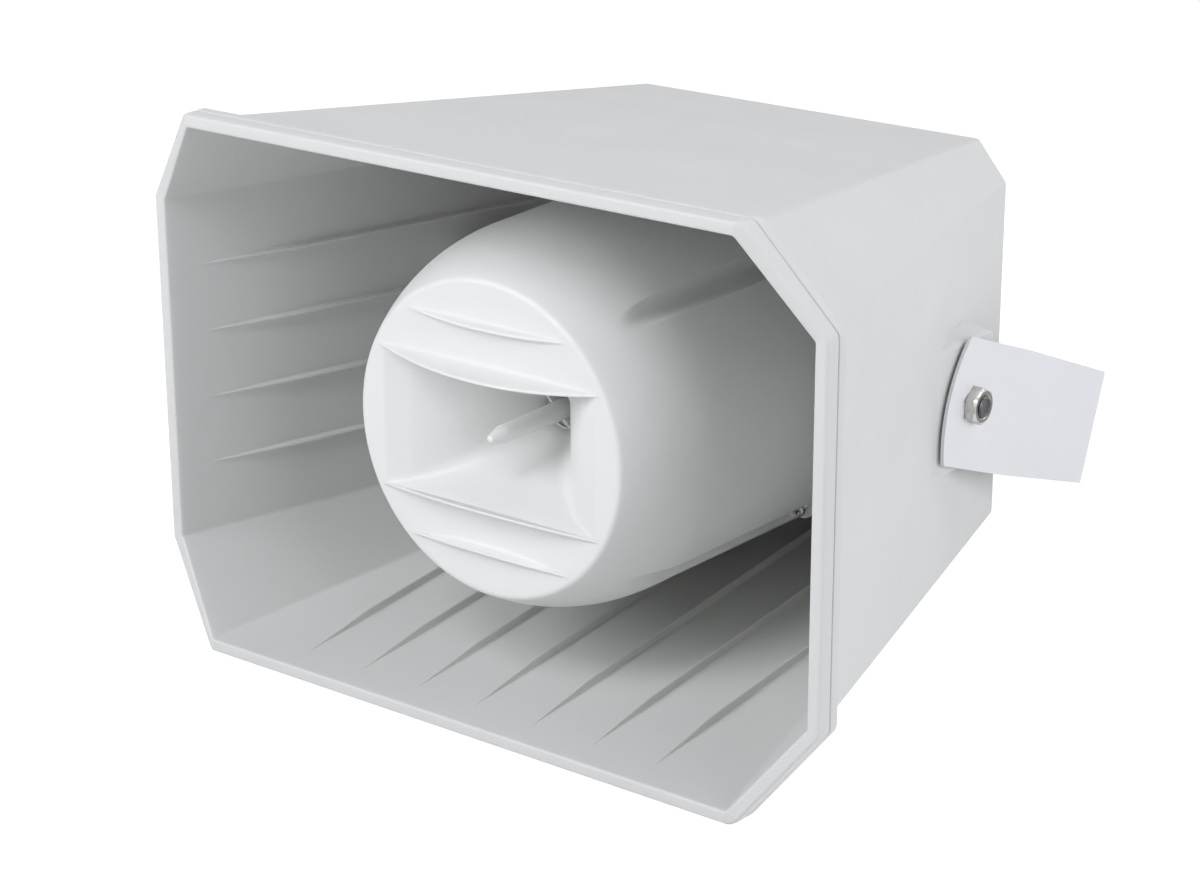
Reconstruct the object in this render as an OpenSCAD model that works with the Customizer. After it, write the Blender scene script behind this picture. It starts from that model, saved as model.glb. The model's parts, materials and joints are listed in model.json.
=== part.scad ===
// Weatherproof two-way music horn on a U bracket.
// The mouth faces -Y, +Z is up, and the origin is on the horn's axis in the
// plane of the mouth's top and bottom edges. Millimetres throughout.

/* [Mouth] */
// Clear width of the mouth between its side walls
mouth_w = 500; // [460:5:560]
// Clear height of the mouth between its top and bottom walls
mouth_h = 346; // [330:2:380]
// Width of the mouth's corner cuts
mouth_cut_x = 42.5; // [30:0.5:55]
// Angle of the corner faces, from upright at 0 to flat at 90
corner_lean = 39.9; // [34:0.1:46]
// How far the mouth's side edges are set back behind its top edge
side_setback = 18.6; // [6:0.2:24]
// Wall thickness at the mouth
mouth_wall = 5.6; // [4:0.2:7]

/* [Horn body] */
// Depth from the mouth's top edge to the rear face
body_d = 385.6; // [370:0.2:410]
// Width of the rear face
rear_w = 314.2; // [300:0.2:330]
// Height of the rear face
rear_h = 282.8; // [276:0.2:300]
// Width of the rear face's corner cuts
rear_cut_x = 21.8; // [15:0.2:30]
// Wall thickness at the rear
rear_wall = 4.8; // [4:0.2:6]

/* [Rim] */
// How far the rim stands out round the mouth
rim_w = 9; // [7:0.5:12]
// Depth of the rim from front to back
rim_d = 19; // [16:0.5:26]
// Distance of the rim's groove behind its front face
rim_groove_at = 12.5; // [8:0.5:14]
// Width and depth of the rim's groove
rim_groove = 1.4; // [0.8:0.1:2]

/* [Stiffening ribs] */
// Thickness of each rib inside the horn
rib_t = 2.2; // [1.6:0.1:3]
// Height that the ribs rise to
rib_h = 5; // [3:0.5:6.5]
// Length over which a rib rises from nothing
rib_rise = 62; // [40:1:90]
// Ribs on each side wall
side_ribs = 4; // [2:1:5]
// Spacing of the ribs on the side walls
side_rib_pitch = 45.7; // [38:0.1:50]
// Where the side ribs start behind the mouth
side_rib_start = 43; // [25:1:70]
// Ribs on the top wall and on the bottom wall
floor_ribs = 7; // [3:2:7]
// Spacing of the ribs on the top and bottom walls
floor_rib_pitch = 46.7; // [38:0.1:50]
// Where the top and bottom ribs start behind the mouth
floor_rib_start = 18; // [12:1:50]

/* [Bell] */
// Distance of the bell's front disc behind the mouth
bell_front = 38; // [28:1:60]
// Radius of the bell's front disc
disc_r = 101.6; // [97:0.2:106]
// Length of the rounded shoulder behind the disc
shoulder_d = 80; // [60:1:90]
// Radius of the shoulder's arc
shoulder_arc = 150; // [140:1:200]
// Length of the bell from its disc to its open rear end
bell_d = 262; // [256:1:268]
// Growth of the bell's radius for each millimetre behind the shoulder
bell_taper = 0.022; // [0.015:0.001:0.028]
// Wall thickness of the bell
bell_wall = 3.5; // [3:0.1:4]
// Radius of the circle that the bell's four screws stand on
bell_screw_circle = 126; // [125:0.5:127.5]
// Radius of the four screw channels in the bell's skin
channel_r = 8.8; // [8.2:0.1:9.2]
// Distance of the lugs that the screws pull on in front of the bell's rear end
lug_from_rear = 50; // [40:1:60]
// Thickness of the lugs
lug_t = 4; // [3:0.5:6]
// Radius of the pillars that carry the bell
pillar_r = 7.4; // [6:0.1:7.8]

/* [Ledges on the bell's disc] */
// Distance of the main ledges from the axis, along Z
main_ledge_z = 47.3; // [46.8:0.1:49]
// Half length of the main ledges
main_ledge_half = 85; // [70:1:88]
// How far the main ledges stand forward at their middle
main_ledge_out = 14.5; // [8:0.5:18]
// Distance of the small ledges from the axis, along Z
small_ledge_z = 75.4; // [72:0.1:78]
// Half length of the small ledges
small_ledge_half = 61.2; // [50:0.2:63]
// How far the small ledges stand forward at their middle
small_ledge_out = 6; // [4:0.5:8]
// Thickness of the ledges
ledge_t = 2.4; // [1.8:0.1:3]
// Lean of the ledges towards the axis, in degrees
ledge_lean = 19; // [5:1:25]

/* [Treble horn] */
// Half width of the treble horn's mouth
treble_half_w = 84; // [76:1:86]
// Half height of the treble horn's mouth
treble_half_h = 45.2; // [38:0.2:46]
// Half width of the treble horn where its mouth bevel ends
treble_bevel_w = 71; // [60:1:74]
// Depth of the mouth bevel
treble_bevel_d = 12; // [8:1:16]
// Depth of the treble horn from the disc to its round throat
treble_d = 74; // [66:1:80]
// Radius of the round throat
throat_r = 14; // [12.8:0.1:15]
// Wall thickness of the treble horn
treble_wall = 3; // [2.5:0.1:3.5]
// Thickness of the flange that the treble driver sits on
throat_flange_t = 6; // [5:0.5:8]
// Radius of the phase plug's rod
plug_r = 5.9; // [5:0.1:7]
// Distance of the phase plug's tip behind the disc
plug_tip_at = 2.3; // [0:0.1:12]
// Thickness of the phase plug's vanes
vane_t = 1.8; // [1.4:0.1:2.4]
// Turn of the two vanes from level
vane_turn = 45; // [0:5:90]

/* [Treble driver] */
// Radius of the treble driver's magnet
treble_magnet_r = 34; // [30:0.5:36]
// Thickness of the treble driver's magnet
treble_magnet_t = 12; // [8:0.5:16]
// Radius of the treble driver's dome
dome_r = 12.7; // [12.2:0.1:13]

/* [Woofer] */
// Radius of the woofer's mounting flange
woofer_r = 103; // [100:0.5:104]
// Radius of the cone at its outer edge
cone_r = 80; // [76:0.5:82]
// Depth of the cone
cone_d = 34; // [30:0.5:36]
// Outer radius of the voice coil's former
former_r = 24.7; // [24.6:0.1:25]
// Radius of the woofer's magnet
magnet_r = 55; // [50:0.5:58]
// Thickness of the woofer's magnet
magnet_t = 18; // [14:0.5:20]
// Thickness of the steel plates on each side of the magnet
pole_plate_t = 6; // [5:0.5:8]
// Thickness of the baffle that closes the bell
baffle_t = 4; // [3:0.5:5]

/* [Electronics] */
// Place of the electronics plate along the bell, as a share of the bell's length
plate_share = 0.496; // [0.49:0.002:0.51]
// Radius of the electronics plate
plate_r = 110; // [109:0.5:112]
// Width of the transformer's core
core_w = 60; // [50:1:64]
// Height of the transformer's core
core_h = 50; // [44:1:52]
// Stack depth of the transformer's core
core_stack = 22; // [16:1:24]
// Width of the crossover board
board_w = 84; // [78:1:88]
// Height of the crossover board
board_h = 50; // [46:1:54]

/* [Bracket] */
// Distance of the pivots in front of the body's rear face
pivot_from_rear = 109.2; // [104:0.2:114]
// Angle of the bracket below the horn's axis, towards the rear
bracket_tilt = 20.6; // [0:0.1:35]
// Thickness of the bracket's steel
bracket_t = 2.5; // [2:0.5:4]
// Width of the bracket's arms at the pivots
arm_w = 83; // [76:1:88]
// Width of the bracket where its arms meet the crossbar
bar_w = 77; // [70:1:82]
// Room from the body's rear face to the crossbar's outer face, with the bracket level
bar_gap = 71.1; // [71.1:0.1:110]
// Outer radius of the bracket's bends
bend_r = 9; // [6:0.5:14]
// Radius of the arc that ends each arm
arm_end_r = 91; // [60:1:120]
// How far the arm's end reaches in front of the pivot
arm_front = 30; // [27:0.5:34]
// Radius of the large hole in the middle of the crossbar
centre_hole_r = 6.5; // [5:0.5:8]
// Circle diameter of the two smaller holes in the crossbar
side_hole_circle = 140; // [80:5:200]
// Radius of the two smaller holes in the crossbar
side_hole_r = 4.5; // [3.5:0.5:6]

/* [Side pivots] */
// How far in front of the pivots the side pads' flat faces leave the walls
pad_lead = 38.72; // [30:0.02:40]
// Half height of the side pads
pad_half_h = 41.5; // [36:0.5:44]
// Radius of the pivot bolts
pivot_r = 7; // [5:0.5:8]
// Thickness of the friction washers between pad and arm
washer_t = 2; // [1.5:0.1:3]
// Radius of the friction washers
washer_r = 17; // [14:0.5:18]
// Width of the pivot nuts across their flats
nut_flats = 22; // [18:0.5:24]
// Thickness of the pivot nuts
nut_t = 8; // [6:0.5:11]
// How far the pivot bolts stand out of their nuts
bolt_proud = 1.5; // [0.5:0.1:4]

/* [Cable gland] */
// Radius of the cable gland's thread
gland_r = 8; // [6:0.5:10]
// Distance of the cable gland below the horn's axis
gland_drop = 96; // [80:1:105]

/* [Hidden] */
$fn = 96;

// A hair of overlap that lets a cut run clean through a face.
over = 1;
// Clearance of a shaft, screw or plug in its own hole.
fit = 0.06;
// Gap left between the bracket and what it turns against.
turn_gap = 0.1;

grey = "#d6d8da";
bell_grey = "#e2e4e6";
bracket_white = "#e6e6ea";
steel = "#b4b6b8";
plated = "#c8c4b4";
ferrite = "#3a3a3c";
paper_black = "#2a2a2a";
rubber_black = "#1e1e1e";
copper = "#b4703c";
board_green = "#2f6b46";
nylon_grey = "#9a9ca0";

// Taper of the walls, outside and inside, for each millimetre of depth.
out_slope_x = (mouth_w / 2 + mouth_wall - rear_w / 2) / (body_d - side_setback);
in_slope_x = (mouth_w / 2 + rear_wall - rear_w / 2) / (body_d - rear_wall - side_setback);
in_slope_z = (mouth_h / 2 + rear_wall - rear_h / 2) / (body_d - rear_wall);
rear_inside = body_d - rear_wall;
// Distances of the corner faces from the axis, at the mouth and at the rear.
mouth_corner = (mouth_w / 2 - mouth_cut_x) * cos(corner_lean) + mouth_h / 2 * sin(corner_lean);
rear_corner = (rear_w / 2 - rear_cut_x) * cos(corner_lean) + rear_h / 2 * sin(corner_lean);
// Height of the mouth's corner cuts, where the corner faces meet its side edges.
corner_slope = (mouth_corner - rear_corner + rear_wall) / rear_inside;
side_edge_z = (mouth_corner - corner_slope * side_setback - mouth_w / 2 * cos(corner_lean))
    / sin(corner_lean);
mouth_cut_z = mouth_h / 2 - side_edge_z;
pivot_y = body_d - pivot_from_rear;
bracket_reach = pivot_from_rear + bar_gap;
pad_x = round(10 * (mouth_w / 2 + mouth_wall
    - out_slope_x * (pivot_y - pad_lead - side_setback))) / 10;
function wall_x(y) = mouth_w / 2 - in_slope_x * (y - side_setback);
function wall_z(y) = mouth_h / 2 - in_slope_z * y;

// The bell's outline, and the places along it.
shoulder_end = bell_front + shoulder_d;
shoulder_r = disc_r + shoulder_arc - sqrt(shoulder_arc * shoulder_arc - shoulder_d * shoulder_d);
bell_rear = bell_front + bell_d;
bell_rear_r = shoulder_r + bell_taper * (bell_rear - shoulder_end);
function bell_r(y) = shoulder_r + bell_taper * (y - shoulder_end);
lug_y = bell_rear - lug_from_rear;
screw_xy = bell_screw_circle * cos(45);
channel_wall_r = channel_r + bell_wall;
bell_screw_r = 2.4;

// The ring inside the bell that carries its baffle, and the stack behind it.
ledge_ring_t = 5;
baffle_screw_r = 1.9;
baffle_boss_r = 5.5;
baffle_boss_d = 20;
baffle_turn = 22.5;
gasket_t = 1.5;
flange_t = 1.5;
baffle_y = bell_rear - 10;
ledge_ring_y = baffle_y - gasket_t - ledge_ring_t;
baffle_r = bell_r(baffle_y) - bell_wall - 0.5;
baffle_circle = baffle_r - 7;
ledge_ring_w = 14;
baffle_hole_r = 92;
woofer_circle = woofer_r - 5.5;
flange_y = baffle_y + baffle_t + gasket_t;
woofer_screw_r = 2;

// The woofer, from its cone towards the front of the horn.
cone_t = 0.8;
cone_edge_y = flange_y + 0.7;
cone_neck_y = cone_edge_y - cone_d;
basket_seat_y = cone_neck_y - 18;
top_plate_y = basket_seat_y - pole_plate_t;
magnet_y = top_plate_y - magnet_t;
yoke_y = magnet_y - pole_plate_t;
basket_t = 1.2;
spider_y = cone_neck_y - 6;
spider_r = 58;

// The treble horn and its driver, from the disc towards the rear.
throat_y = bell_front + treble_d;
treble_seat_y = throat_y + throat_flange_t;
plug_ring_t = 2;
plug_ring_r = throat_r + 4;
face_t = 3;
face_y = treble_seat_y;
dome_y = face_y + face_t;
dome_flange_t = 0.8;
treble_top_y = dome_y + dome_flange_t;
treble_top_t = 4;
treble_magnet_y = treble_top_y + treble_top_t;
treble_yoke_y = treble_magnet_y + treble_magnet_t;
treble_yoke_t = 4;
housing_end = treble_yoke_y + treble_yoke_t;
face_r = treble_magnet_r + 3;
face_hole_r = dome_r + 4;
housing_wall = 2.5;
housing_open_r = face_r + 0.3;
ear_r = 7;
ear_t = 4;
treble_screw_circle = housing_open_r + housing_wall + 5;
throat_flange_r = treble_screw_circle + 5;
dome_h = 2.4;

// The electronics plate and what stands on it.
plate_at = plate_share * bell_d;
plate_y = bell_front + plate_at;
plate_hole_r = 22;
plate_hole_x = 3 * plate_hole_r;
plate_t = 2;
post_x = 44;
post_z = 78;
post_r = 5;
post_hole_r = 1.7;
board_y = plate_y + plate_t + 6;
board_t = 1.6;
board_z = 76;
core_z = -80;
strap_rise = 8;
core_y = plate_y + plate_t;
strap_hole_x = core_w / 2 + 7;
strap_depth = core_w / 6;
strap_hole_z = core_z + core_h / 2 - strap_depth / 2;
parts_y = board_y + board_t;
grommet_r = 4;
grommet_y = ledge_ring_y - 14;
gland_seal_t = 1.5;

// The bracket, in its own frame at the pivots.
arm_in = pad_x + washer_t + turn_gap;
arm_out = arm_in + bracket_t;
nut_in = arm_out + turn_gap;
nut_out = nut_in + nut_t;
arm_hole_r = pivot_r + 0.08;
insert_r = pivot_r + 4;
insert_d = 18;
boss_r = insert_r + 5;

// Corners of a mouth or a rear face, grown outwards by t on every side.
function octagon(w, h, cut_x, cut_z, t = 0) =
    let (
        lean = atan2(cut_z, cut_x),
        x = w / 2 + t,
        z = h / 2 + t,
        near_x = w / 2 - cut_x + t * tan(lean / 2),
        near_z = h / 2 - cut_z + t * tan((90 - lean) / 2)
    )
    [[-near_x, z], [near_x, z], [x, near_z], [x, -near_z],
        [near_x, -z], [-near_x, -z], [-x, -near_z], [-x, near_z]];

// A plate of thickness t from y on, cut to a flat X-Z shape.
module slab(y, t) {
    translate([0, y + t, 0]) rotate([90, 0, 0]) linear_extrude(t) children();
}

// Turns a solid drawn along +Z to run along +Y from y on.
module along_y(y) {
    translate([0, y, 0]) rotate([-90, 0, 0]) children();
}

// A round bar along +Y.
module rod_y(x, y, z, r, len) {
    translate([x, y, z]) rotate([-90, 0, 0]) cylinder(r = r, h = len);
}

// A ring along +Y with an outer and an inner radius.
module ring_y(y, t, ro, ri) {
    difference() {
        rod_y(0, y, 0, ro, t);
        rod_y(0, y - over, 0, ri, t + 2 * over);
    }
}

// Revolves a list of [radius, y] points about the horn's axis.
module turned(points) {
    along_y(0) rotate_extrude() polygon(points);
}

// Repeats a solid at the four corner screws.
module at_corners(x, z) {
    for (sx = [-1, 1], sz = [-1, 1]) translate([sx * x, 0, sz * z]) children();
}

// Repeats a solid on a circle about the horn's axis.
module on_circle(count, radius, first) {
    for (i = [0 : count - 1]) {
        a = first + i * 360 / count;
        translate([radius * cos(a), 0, radius * sin(a)]) children();
    }
}

// The swept-back front of the mouth in plan, moved back by d.
function front_line(d) = let (edge = mouth_w / 2, near = mouth_w / 2 - mouth_cut_x, far = mouth_w)
    [[-far, side_setback + d], [-edge, side_setback + d], [-near, d],
        [near, d], [edge, side_setback + d], [far, side_setback + d]];
function reversed(list) = [for (i = [len(list) - 1 : -1 : 0]) list[i]];

// A band that follows the swept-back front from depth a to depth b.
module front_band(a, b) {
    translate([0, 0, -mouth_h]) linear_extrude(2 * mouth_h)
        polygon(concat(front_line(a), reversed(front_line(b))));
}

module mouth_prism(t) {
    slab(-over, side_setback + rim_d + 2 * over)
        polygon(octagon(mouth_w, mouth_h, mouth_cut_x, mouth_cut_z, t));
}

module rim() {
    difference() {
        intersection() {
            mouth_prism(rim_w);
            front_band(0, rim_d);
        }
        difference() {
            front_band(rim_groove_at, rim_groove_at + rim_groove);
            mouth_prism(rim_w - rim_groove);
        }
    }
}

// A tapered eight-sided body. Each pair holds a size at the mouth and at depth
// len: x and z are half sizes, and d is the corner faces' distance from the axis.
module tapered_body(x, z, d, len) {
    lean = atan((d[0] - d[1]) / len);
    difference() {
        intersection() {
            linear_extrude(2 * mouth_h, center = true)
                polygon([[-x[0], 0], [x[0], 0], [x[1], len], [-x[1], len]]);
            rotate([90, 0, 90]) linear_extrude(2 * mouth_w, center = true)
                polygon([[0, -z[0]], [0, z[0]], [len, z[1]], [len, -z[1]]]);
        }
        for (mx = [0, 1], mz = [0, 1]) mirror([mx, 0, 0]) mirror([0, 0, mz])
            rotate([0, -corner_lean, 0]) translate([d[0], 0, 0]) rotate([0, 0, lean])
                translate([0, -body_d / 2, -mouth_h]) cube([mouth_w, 2 * body_d, 2 * mouth_h]);
    }
}

module body_outside() {
    front_x = mouth_w / 2 + mouth_wall + out_slope_x * side_setback;
    tapered_body([front_x, rear_w / 2], [mouth_h / 2 + mouth_wall, rear_h / 2],
        [mouth_corner + mouth_wall, rear_corner], body_d);
}

module body_inside() {
    tapered_body([wall_x(0), rear_w / 2 - rear_wall], [mouth_h / 2, rear_h / 2 - rear_wall],
        [mouth_corner, rear_corner - rear_wall], rear_inside);
}

// One raised side pad for the right side: its outline seen from the side, its
// drafted top and bottom flanks, and its drafted back.
module side_pad() {
    front = pivot_y - 44;
    back = pivot_y + 30;
    draft = 14;
    deep = 26;
    low = pad_half_h + draft;
    intersection() {
        translate([pad_x - deep, 0, 0]) rotate([90, 0, 90]) linear_extrude(deep) polygon([
            [front, -low], [pivot_y + 6, -low], [back + draft, -pad_half_h + 12],
            [back + draft, pad_half_h - 12], [pivot_y + 6, low], [front, low]]);
        translate([0, back + 2 * draft, 0]) rotate([90, 0, 0]) linear_extrude(back) polygon([
            [pad_x - deep, -low], [pad_x, -pad_half_h], [pad_x, pad_half_h], [pad_x - deep, low]]);
        translate([0, 0, -low]) linear_extrude(2 * low) polygon([
            [pad_x - deep, front], [pad_x, front], [pad_x, back], [pad_x - deep, back + draft]]);
    }
}

// One rib on the right wall, rising from nothing and running to the rear.
module side_rib() {
    start = side_rib_start;
    full = start + rib_rise;
    linear_extrude(rib_t, center = true) polygon([
        [wall_x(start) + over, start - over], [wall_x(full) - rib_h, full],
        [wall_x(rear_inside) - rib_h, rear_inside + over],
        [wall_x(rear_inside) + over, rear_inside + over]]);
}

// One rib on the top wall.
module top_rib() {
    start = floor_rib_start;
    full = start + rib_rise;
    rotate([90, 0, 90]) linear_extrude(rib_t, center = true) polygon([
        [start - over, wall_z(start) + over], [full, wall_z(full) - rib_h],
        [rear_inside + over, wall_z(rear_inside) - rib_h],
        [rear_inside + over, wall_z(rear_inside) + over]]);
}

module ribs() {
    for (i = [0 : side_ribs - 1], sx = [0, 1])
        translate([0, 0, (i - (side_ribs - 1) / 2) * side_rib_pitch]) mirror([sx, 0, 0]) side_rib();
    for (i = [0 : floor_ribs - 1], sz = [0, 1])
        translate([(i - (floor_ribs - 1) / 2) * floor_rib_pitch, 0, 0]) mirror([0, 0, sz]) top_rib();
}

// The thickened boss inside a side wall, for the pivot's insert.
module pivot_boss() {
    translate([pad_x - insert_d - 3, pivot_y, 0]) rotate([0, 90, 0])
        cylinder(r = boss_r, h = insert_d - 4);
}

module horn_shell() {
    color(grey) difference() {
        union() {
            difference() {
                union() {
                    body_outside();
                    rim();
                    for (sx = [0, 1]) mirror([sx, 0, 0]) side_pad();
                }
                body_inside();
                front_band(-mouth_h, 0);
            }
            ribs();
            for (sx = [0, 1]) mirror([sx, 0, 0]) pivot_boss();
            at_corners(screw_xy, screw_xy)
                rod_y(0, lug_y + lug_t, 0, pillar_r, rear_inside + over - lug_y - lug_t);
        }
        for (sx = [-1, 1]) translate([sx * (pad_x - insert_d / 2), pivot_y, 0])
            rotate([0, sx * 90, 0]) translate([0, 0, -insert_d / 2])
                cylinder(r = insert_r + fit, h = insert_d + over);
        at_corners(screw_xy, screw_xy)
            rod_y(0, lug_y + lug_t - over, 0, bell_screw_r + fit, 26 + over);
        rod_y(0, rear_inside - over, -gland_drop, gland_r + fit, rear_wall + 2 * over);
    }
}

module pivot_inserts() {
    color("#c8a850") for (sx = [-1, 1]) translate([sx * (pad_x - insert_d), pivot_y, 0])
        rotate([0, sx * 90, 0]) difference() {
            cylinder(r = insert_r, h = insert_d);
            translate([0, 0, 3]) cylinder(r = pivot_r + fit, h = insert_d);
        }
}

module pivot_bolts() {
    start = pad_x - insert_d + 4;
    color(steel) for (sx = [-1, 1]) translate([sx * start, pivot_y, 0]) rotate([0, sx * 90, 0]) {
        cylinder(r = pivot_r, h = nut_out + bolt_proud - start - 1);
        translate([0, 0, nut_out + bolt_proud - start - 1])
            cylinder(r1 = pivot_r, r2 = pivot_r - 1, h = 1, $fn = 48);
    }
}

module pivot_washers() {
    color(rubber_black) for (sx = [-1, 1]) translate([sx * pad_x, pivot_y, 0])
        rotate([0, sx * 90, 0]) difference() {
            cylinder(r = washer_r, h = washer_t);
            translate([0, 0, -over]) cylinder(r = pivot_r + fit, h = washer_t + 2 * over);
        }
}

// A hex nut whose corners are turned down to a cone on its outer face.
module pivot_nuts() {
    corner_r = nut_flats / sqrt(3);
    color(steel) for (sx = [-1, 1]) translate([sx * nut_in, pivot_y, 0])
        rotate([0, sx * 90, 0]) difference() {
            intersection() {
                cylinder(r = corner_r, h = nut_t, $fn = 6);
                rotate_extrude() polygon([[0, 0], [corner_r + 1, 0], [corner_r + 1, nut_t - 2],
                    [nut_flats / 2 - 0.4, nut_t], [0, nut_t]]);
            }
            translate([0, 0, -over]) cylinder(r = pivot_r + fit, h = nut_t + 2 * over);
        }
}

// The U in plan: two arms, two bends and the crossbar, in the bracket's frame.
module bracket_plan() {
    difference() {
        rounded_end(arm_out, bracket_reach, bend_r, arm_front + 10);
        rounded_end(arm_in, bracket_reach - bracket_t, bend_r - bracket_t, arm_front + 11);
    }
}
// A block x to either side and from -front to end, with its two far corners rounded by r.
module rounded_end(x, end, r, front) {
    translate([-x, -front]) square([2 * x, end - r + front]);
    translate([r - x, 0]) square([2 * (x - r), end]);
    for (sx = [-1, 1]) translate([sx * (x - r), end - r]) circle(r = r);
}
module bracket_side() {
    centre = arm_end_r - arm_front;
    intersection() {
        translate([centre, 0]) circle(r = arm_end_r);
        translate([-arm_front - over, -arm_w / 2]) square([arm_front + over + centre, arm_w]);
    }
    polygon([[centre, -arm_w / 2], [bracket_reach + over, -bar_w / 2],
        [bracket_reach + over, bar_w / 2], [centre, arm_w / 2]]);
}

module bracket() {
    color(bracket_white) translate([0, pivot_y, 0]) rotate([-bracket_tilt, 0, 0]) difference() {
        intersection() {
            translate([0, 0, -arm_w]) linear_extrude(2 * arm_w) bracket_plan();
            translate([-arm_out - over, 0, 0]) rotate([90, 0, 90])
                linear_extrude(2 * (arm_out + over)) bracket_side();
        }
        for (sx = [-1, 1]) translate([sx * (arm_in - over), 0, 0]) rotate([0, sx * 90, 0])
            cylinder(r = arm_hole_r, h = bracket_t + 2 * over);
        rod_y(0, bracket_reach - bracket_t - over, 0, centre_hole_r, bracket_t + 2 * over);
        for (sx = [-1, 1]) rod_y(sx * side_hole_circle / 2, bracket_reach - bracket_t - over, 0,
            side_hole_r, bracket_t + 2 * over);
    }
}

// Radius of the shoulder's arc at a depth behind the disc, moved in by t.
function shoulder(y, t) = shoulder_r - t - shoulder_arc
    + sqrt(pow(shoulder_arc, 2) - pow(shoulder_end - y, 2));
shoulder_steps = 20;

// The bell's solid outline, moved in by t all round.
module bell_form(t) {
    start = bell_front + t;
    step = (shoulder_end - start) / shoulder_steps;
    turned(concat(
        [[0, start]],
        [for (i = [0 : shoulder_steps]) [shoulder(start + i * step, t), start + i * step]],
        [[bell_rear_r - t, bell_rear + (t > 0 ? over : 0)], [0, bell_rear + (t > 0 ? over : 0)]]));
}

// The point at t on a curve from a to c that leans towards b.
function bent(a, b, c, t) = (1 - t) * (1 - t) * a + 2 * t * (1 - t) * b + t * t * c;

// One side of the treble horn in plan, from its mouth to its throat.
function treble_side(g) =
    let (
        bevel = [treble_bevel_w + g, bell_front + treble_bevel_d],
        throat = [throat_r + g, throat_y + over],
        pull = [(bevel[0] + throat[0]) / 2 - 9, (bevel[1] + throat[1]) / 2 - 7]
    )
    concat([[treble_half_w + treble_half_w - treble_bevel_w + g, bell_front - treble_bevel_d],
        bevel], [for (i = [1 : 8]) bent(bevel, pull, throat, i / 8)]);

// The treble horn's hollow, grown by g: its plan and its side view, crossed.
module treble_form(g) {
    side = treble_side(g);
    rise = (treble_half_h - throat_r) / treble_d;
    intersection() {
        translate([0, 0, -disc_r]) linear_extrude(2 * disc_r)
            polygon(concat(side, reversed([for (p = side) [-p[0], p[1]]])));
        translate([-disc_r, 0, 0]) rotate([90, 0, 90]) linear_extrude(2 * disc_r) polygon([
            [bell_front - 12, treble_half_h + g + 12 * rise], [throat_y + over, throat_r + g],
            [throat_y + over, -throat_r - g], [bell_front - 12, -treble_half_h - g - 12 * rise]]);
    }
}

// A crescent ledge whose straight root lies on the disc, above the axis.
module ledge(z, half, out) {
    arc = (half * half + out * out) / (2 * out);
    translate([0, bell_front + 0.6, z]) rotate([ledge_lean, 0, 0])
        translate([0, 0, -ledge_t]) intersection() {
            translate([0, arc - out, 0]) cylinder(r = arc, h = ledge_t, $fn = 240);
            translate([-half, -out - over, 0]) cube([2 * half, out + over, ledge_t]);
        }
}
module ledges() {
    for (sz = [0, 1]) mirror([0, 0, sz]) {
        ledge(main_ledge_z, main_ledge_half, main_ledge_out);
        ledge(small_ledge_z, small_ledge_half, small_ledge_out);
    }
}

// What the bell holds inside: the treble horn's walls, posts and bosses.
module bell_fittings() {
    intersection() {
        union() {
            treble_form(treble_wall);
            rod_y(0, throat_y, 0, throat_flange_r, throat_flange_t);
            at_corners(post_x, post_z) rod_y(0, bell_front, 0, post_r, plate_at);
            difference() {
                rod_y(0, ledge_ring_y, 0, bell_rear_r, ledge_ring_t);
                rod_y(0, ledge_ring_y - over, 0, baffle_r - ledge_ring_w, ledge_ring_t + 2 * over);
            }
            on_circle(8, baffle_circle, baffle_turn)
                rod_y(0, ledge_ring_y - baffle_boss_d, 0, baffle_boss_r, baffle_boss_d + 1);
            at_corners(screw_xy, screw_xy) rod_y(0, bell_front, 0, channel_wall_r, bell_d);
        }
        bell_form(bell_wall / 2);
    }
}

module bell() {
    color(bell_grey) {
        difference() {
            union() {
                difference() {
                    bell_form(0);
                    bell_form(bell_wall);
                }
                bell_fittings();
            }
            difference() {
                at_corners(screw_xy, screw_xy) rod_y(0, bell_front, 0, channel_r, bell_d + over);
                rod_y(0, lug_y, 0, bell_rear_r + over, lug_t);
            }
            at_corners(screw_xy, screw_xy)
                rod_y(0, lug_y - over, 0, bell_screw_r + 0.4, lug_t + 2 * over);
            treble_form(0);
            rod_y(0, throat_y, 0, throat_r, throat_flange_t + over);
            rod_y(0, treble_seat_y - plug_ring_t - fit, 0, plug_ring_r + fit, plug_ring_t + over);
            on_circle(4, treble_screw_circle, 45) rod_y(0, throat_y + 1, 0, 1.5, throat_flange_t);
            at_corners(post_x, post_z) rod_y(0, plate_y - 16, 0, post_hole_r, 16 + over);
            on_circle(8, baffle_circle, baffle_turn)
                rod_y(0, ledge_ring_y - baffle_boss_d + 4, 0, baffle_screw_r + fit,
                    baffle_boss_d + 10);
            translate([0, grommet_y, -bell_rear_r - over])
                cylinder(r = grommet_r, h = bell_wall + 6);
        }
        ledges();
    }
}

// A pan head and its shank, driven towards the side that dir gives (1 is +Y).
module screw_y(y, dir, shank_r, shank_l, head_r, head_t) {
    translate([0, y, 0]) rotate([dir > 0 ? -90 : 90, 0, 0]) difference() {
        union() {
            translate([0, 0, -over / 2]) cylinder(r = shank_r, h = shank_l + over / 2, $fn = 32);
            translate([0, 0, -head_t]) rotate_extrude($fn = 48) polygon([[0, 0], [head_r - head_t / 2, 0],
                [head_r - 0.3, head_t * 0.4], [head_r, head_t], [0, head_t]]);
        }
        for (a = [0, 90]) rotate([0, 0, a]) translate([-head_r * 0.55, -head_r * 0.1, -head_t - over])
            cube([head_r * 1.1, head_r * 0.2, head_t * 0.6 + over]);
    }
}

module bell_screws() {
    color(steel) at_corners(screw_xy, screw_xy) screw_y(lug_y, 1, bell_screw_r, 24, 4.6, 3);
}

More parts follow.
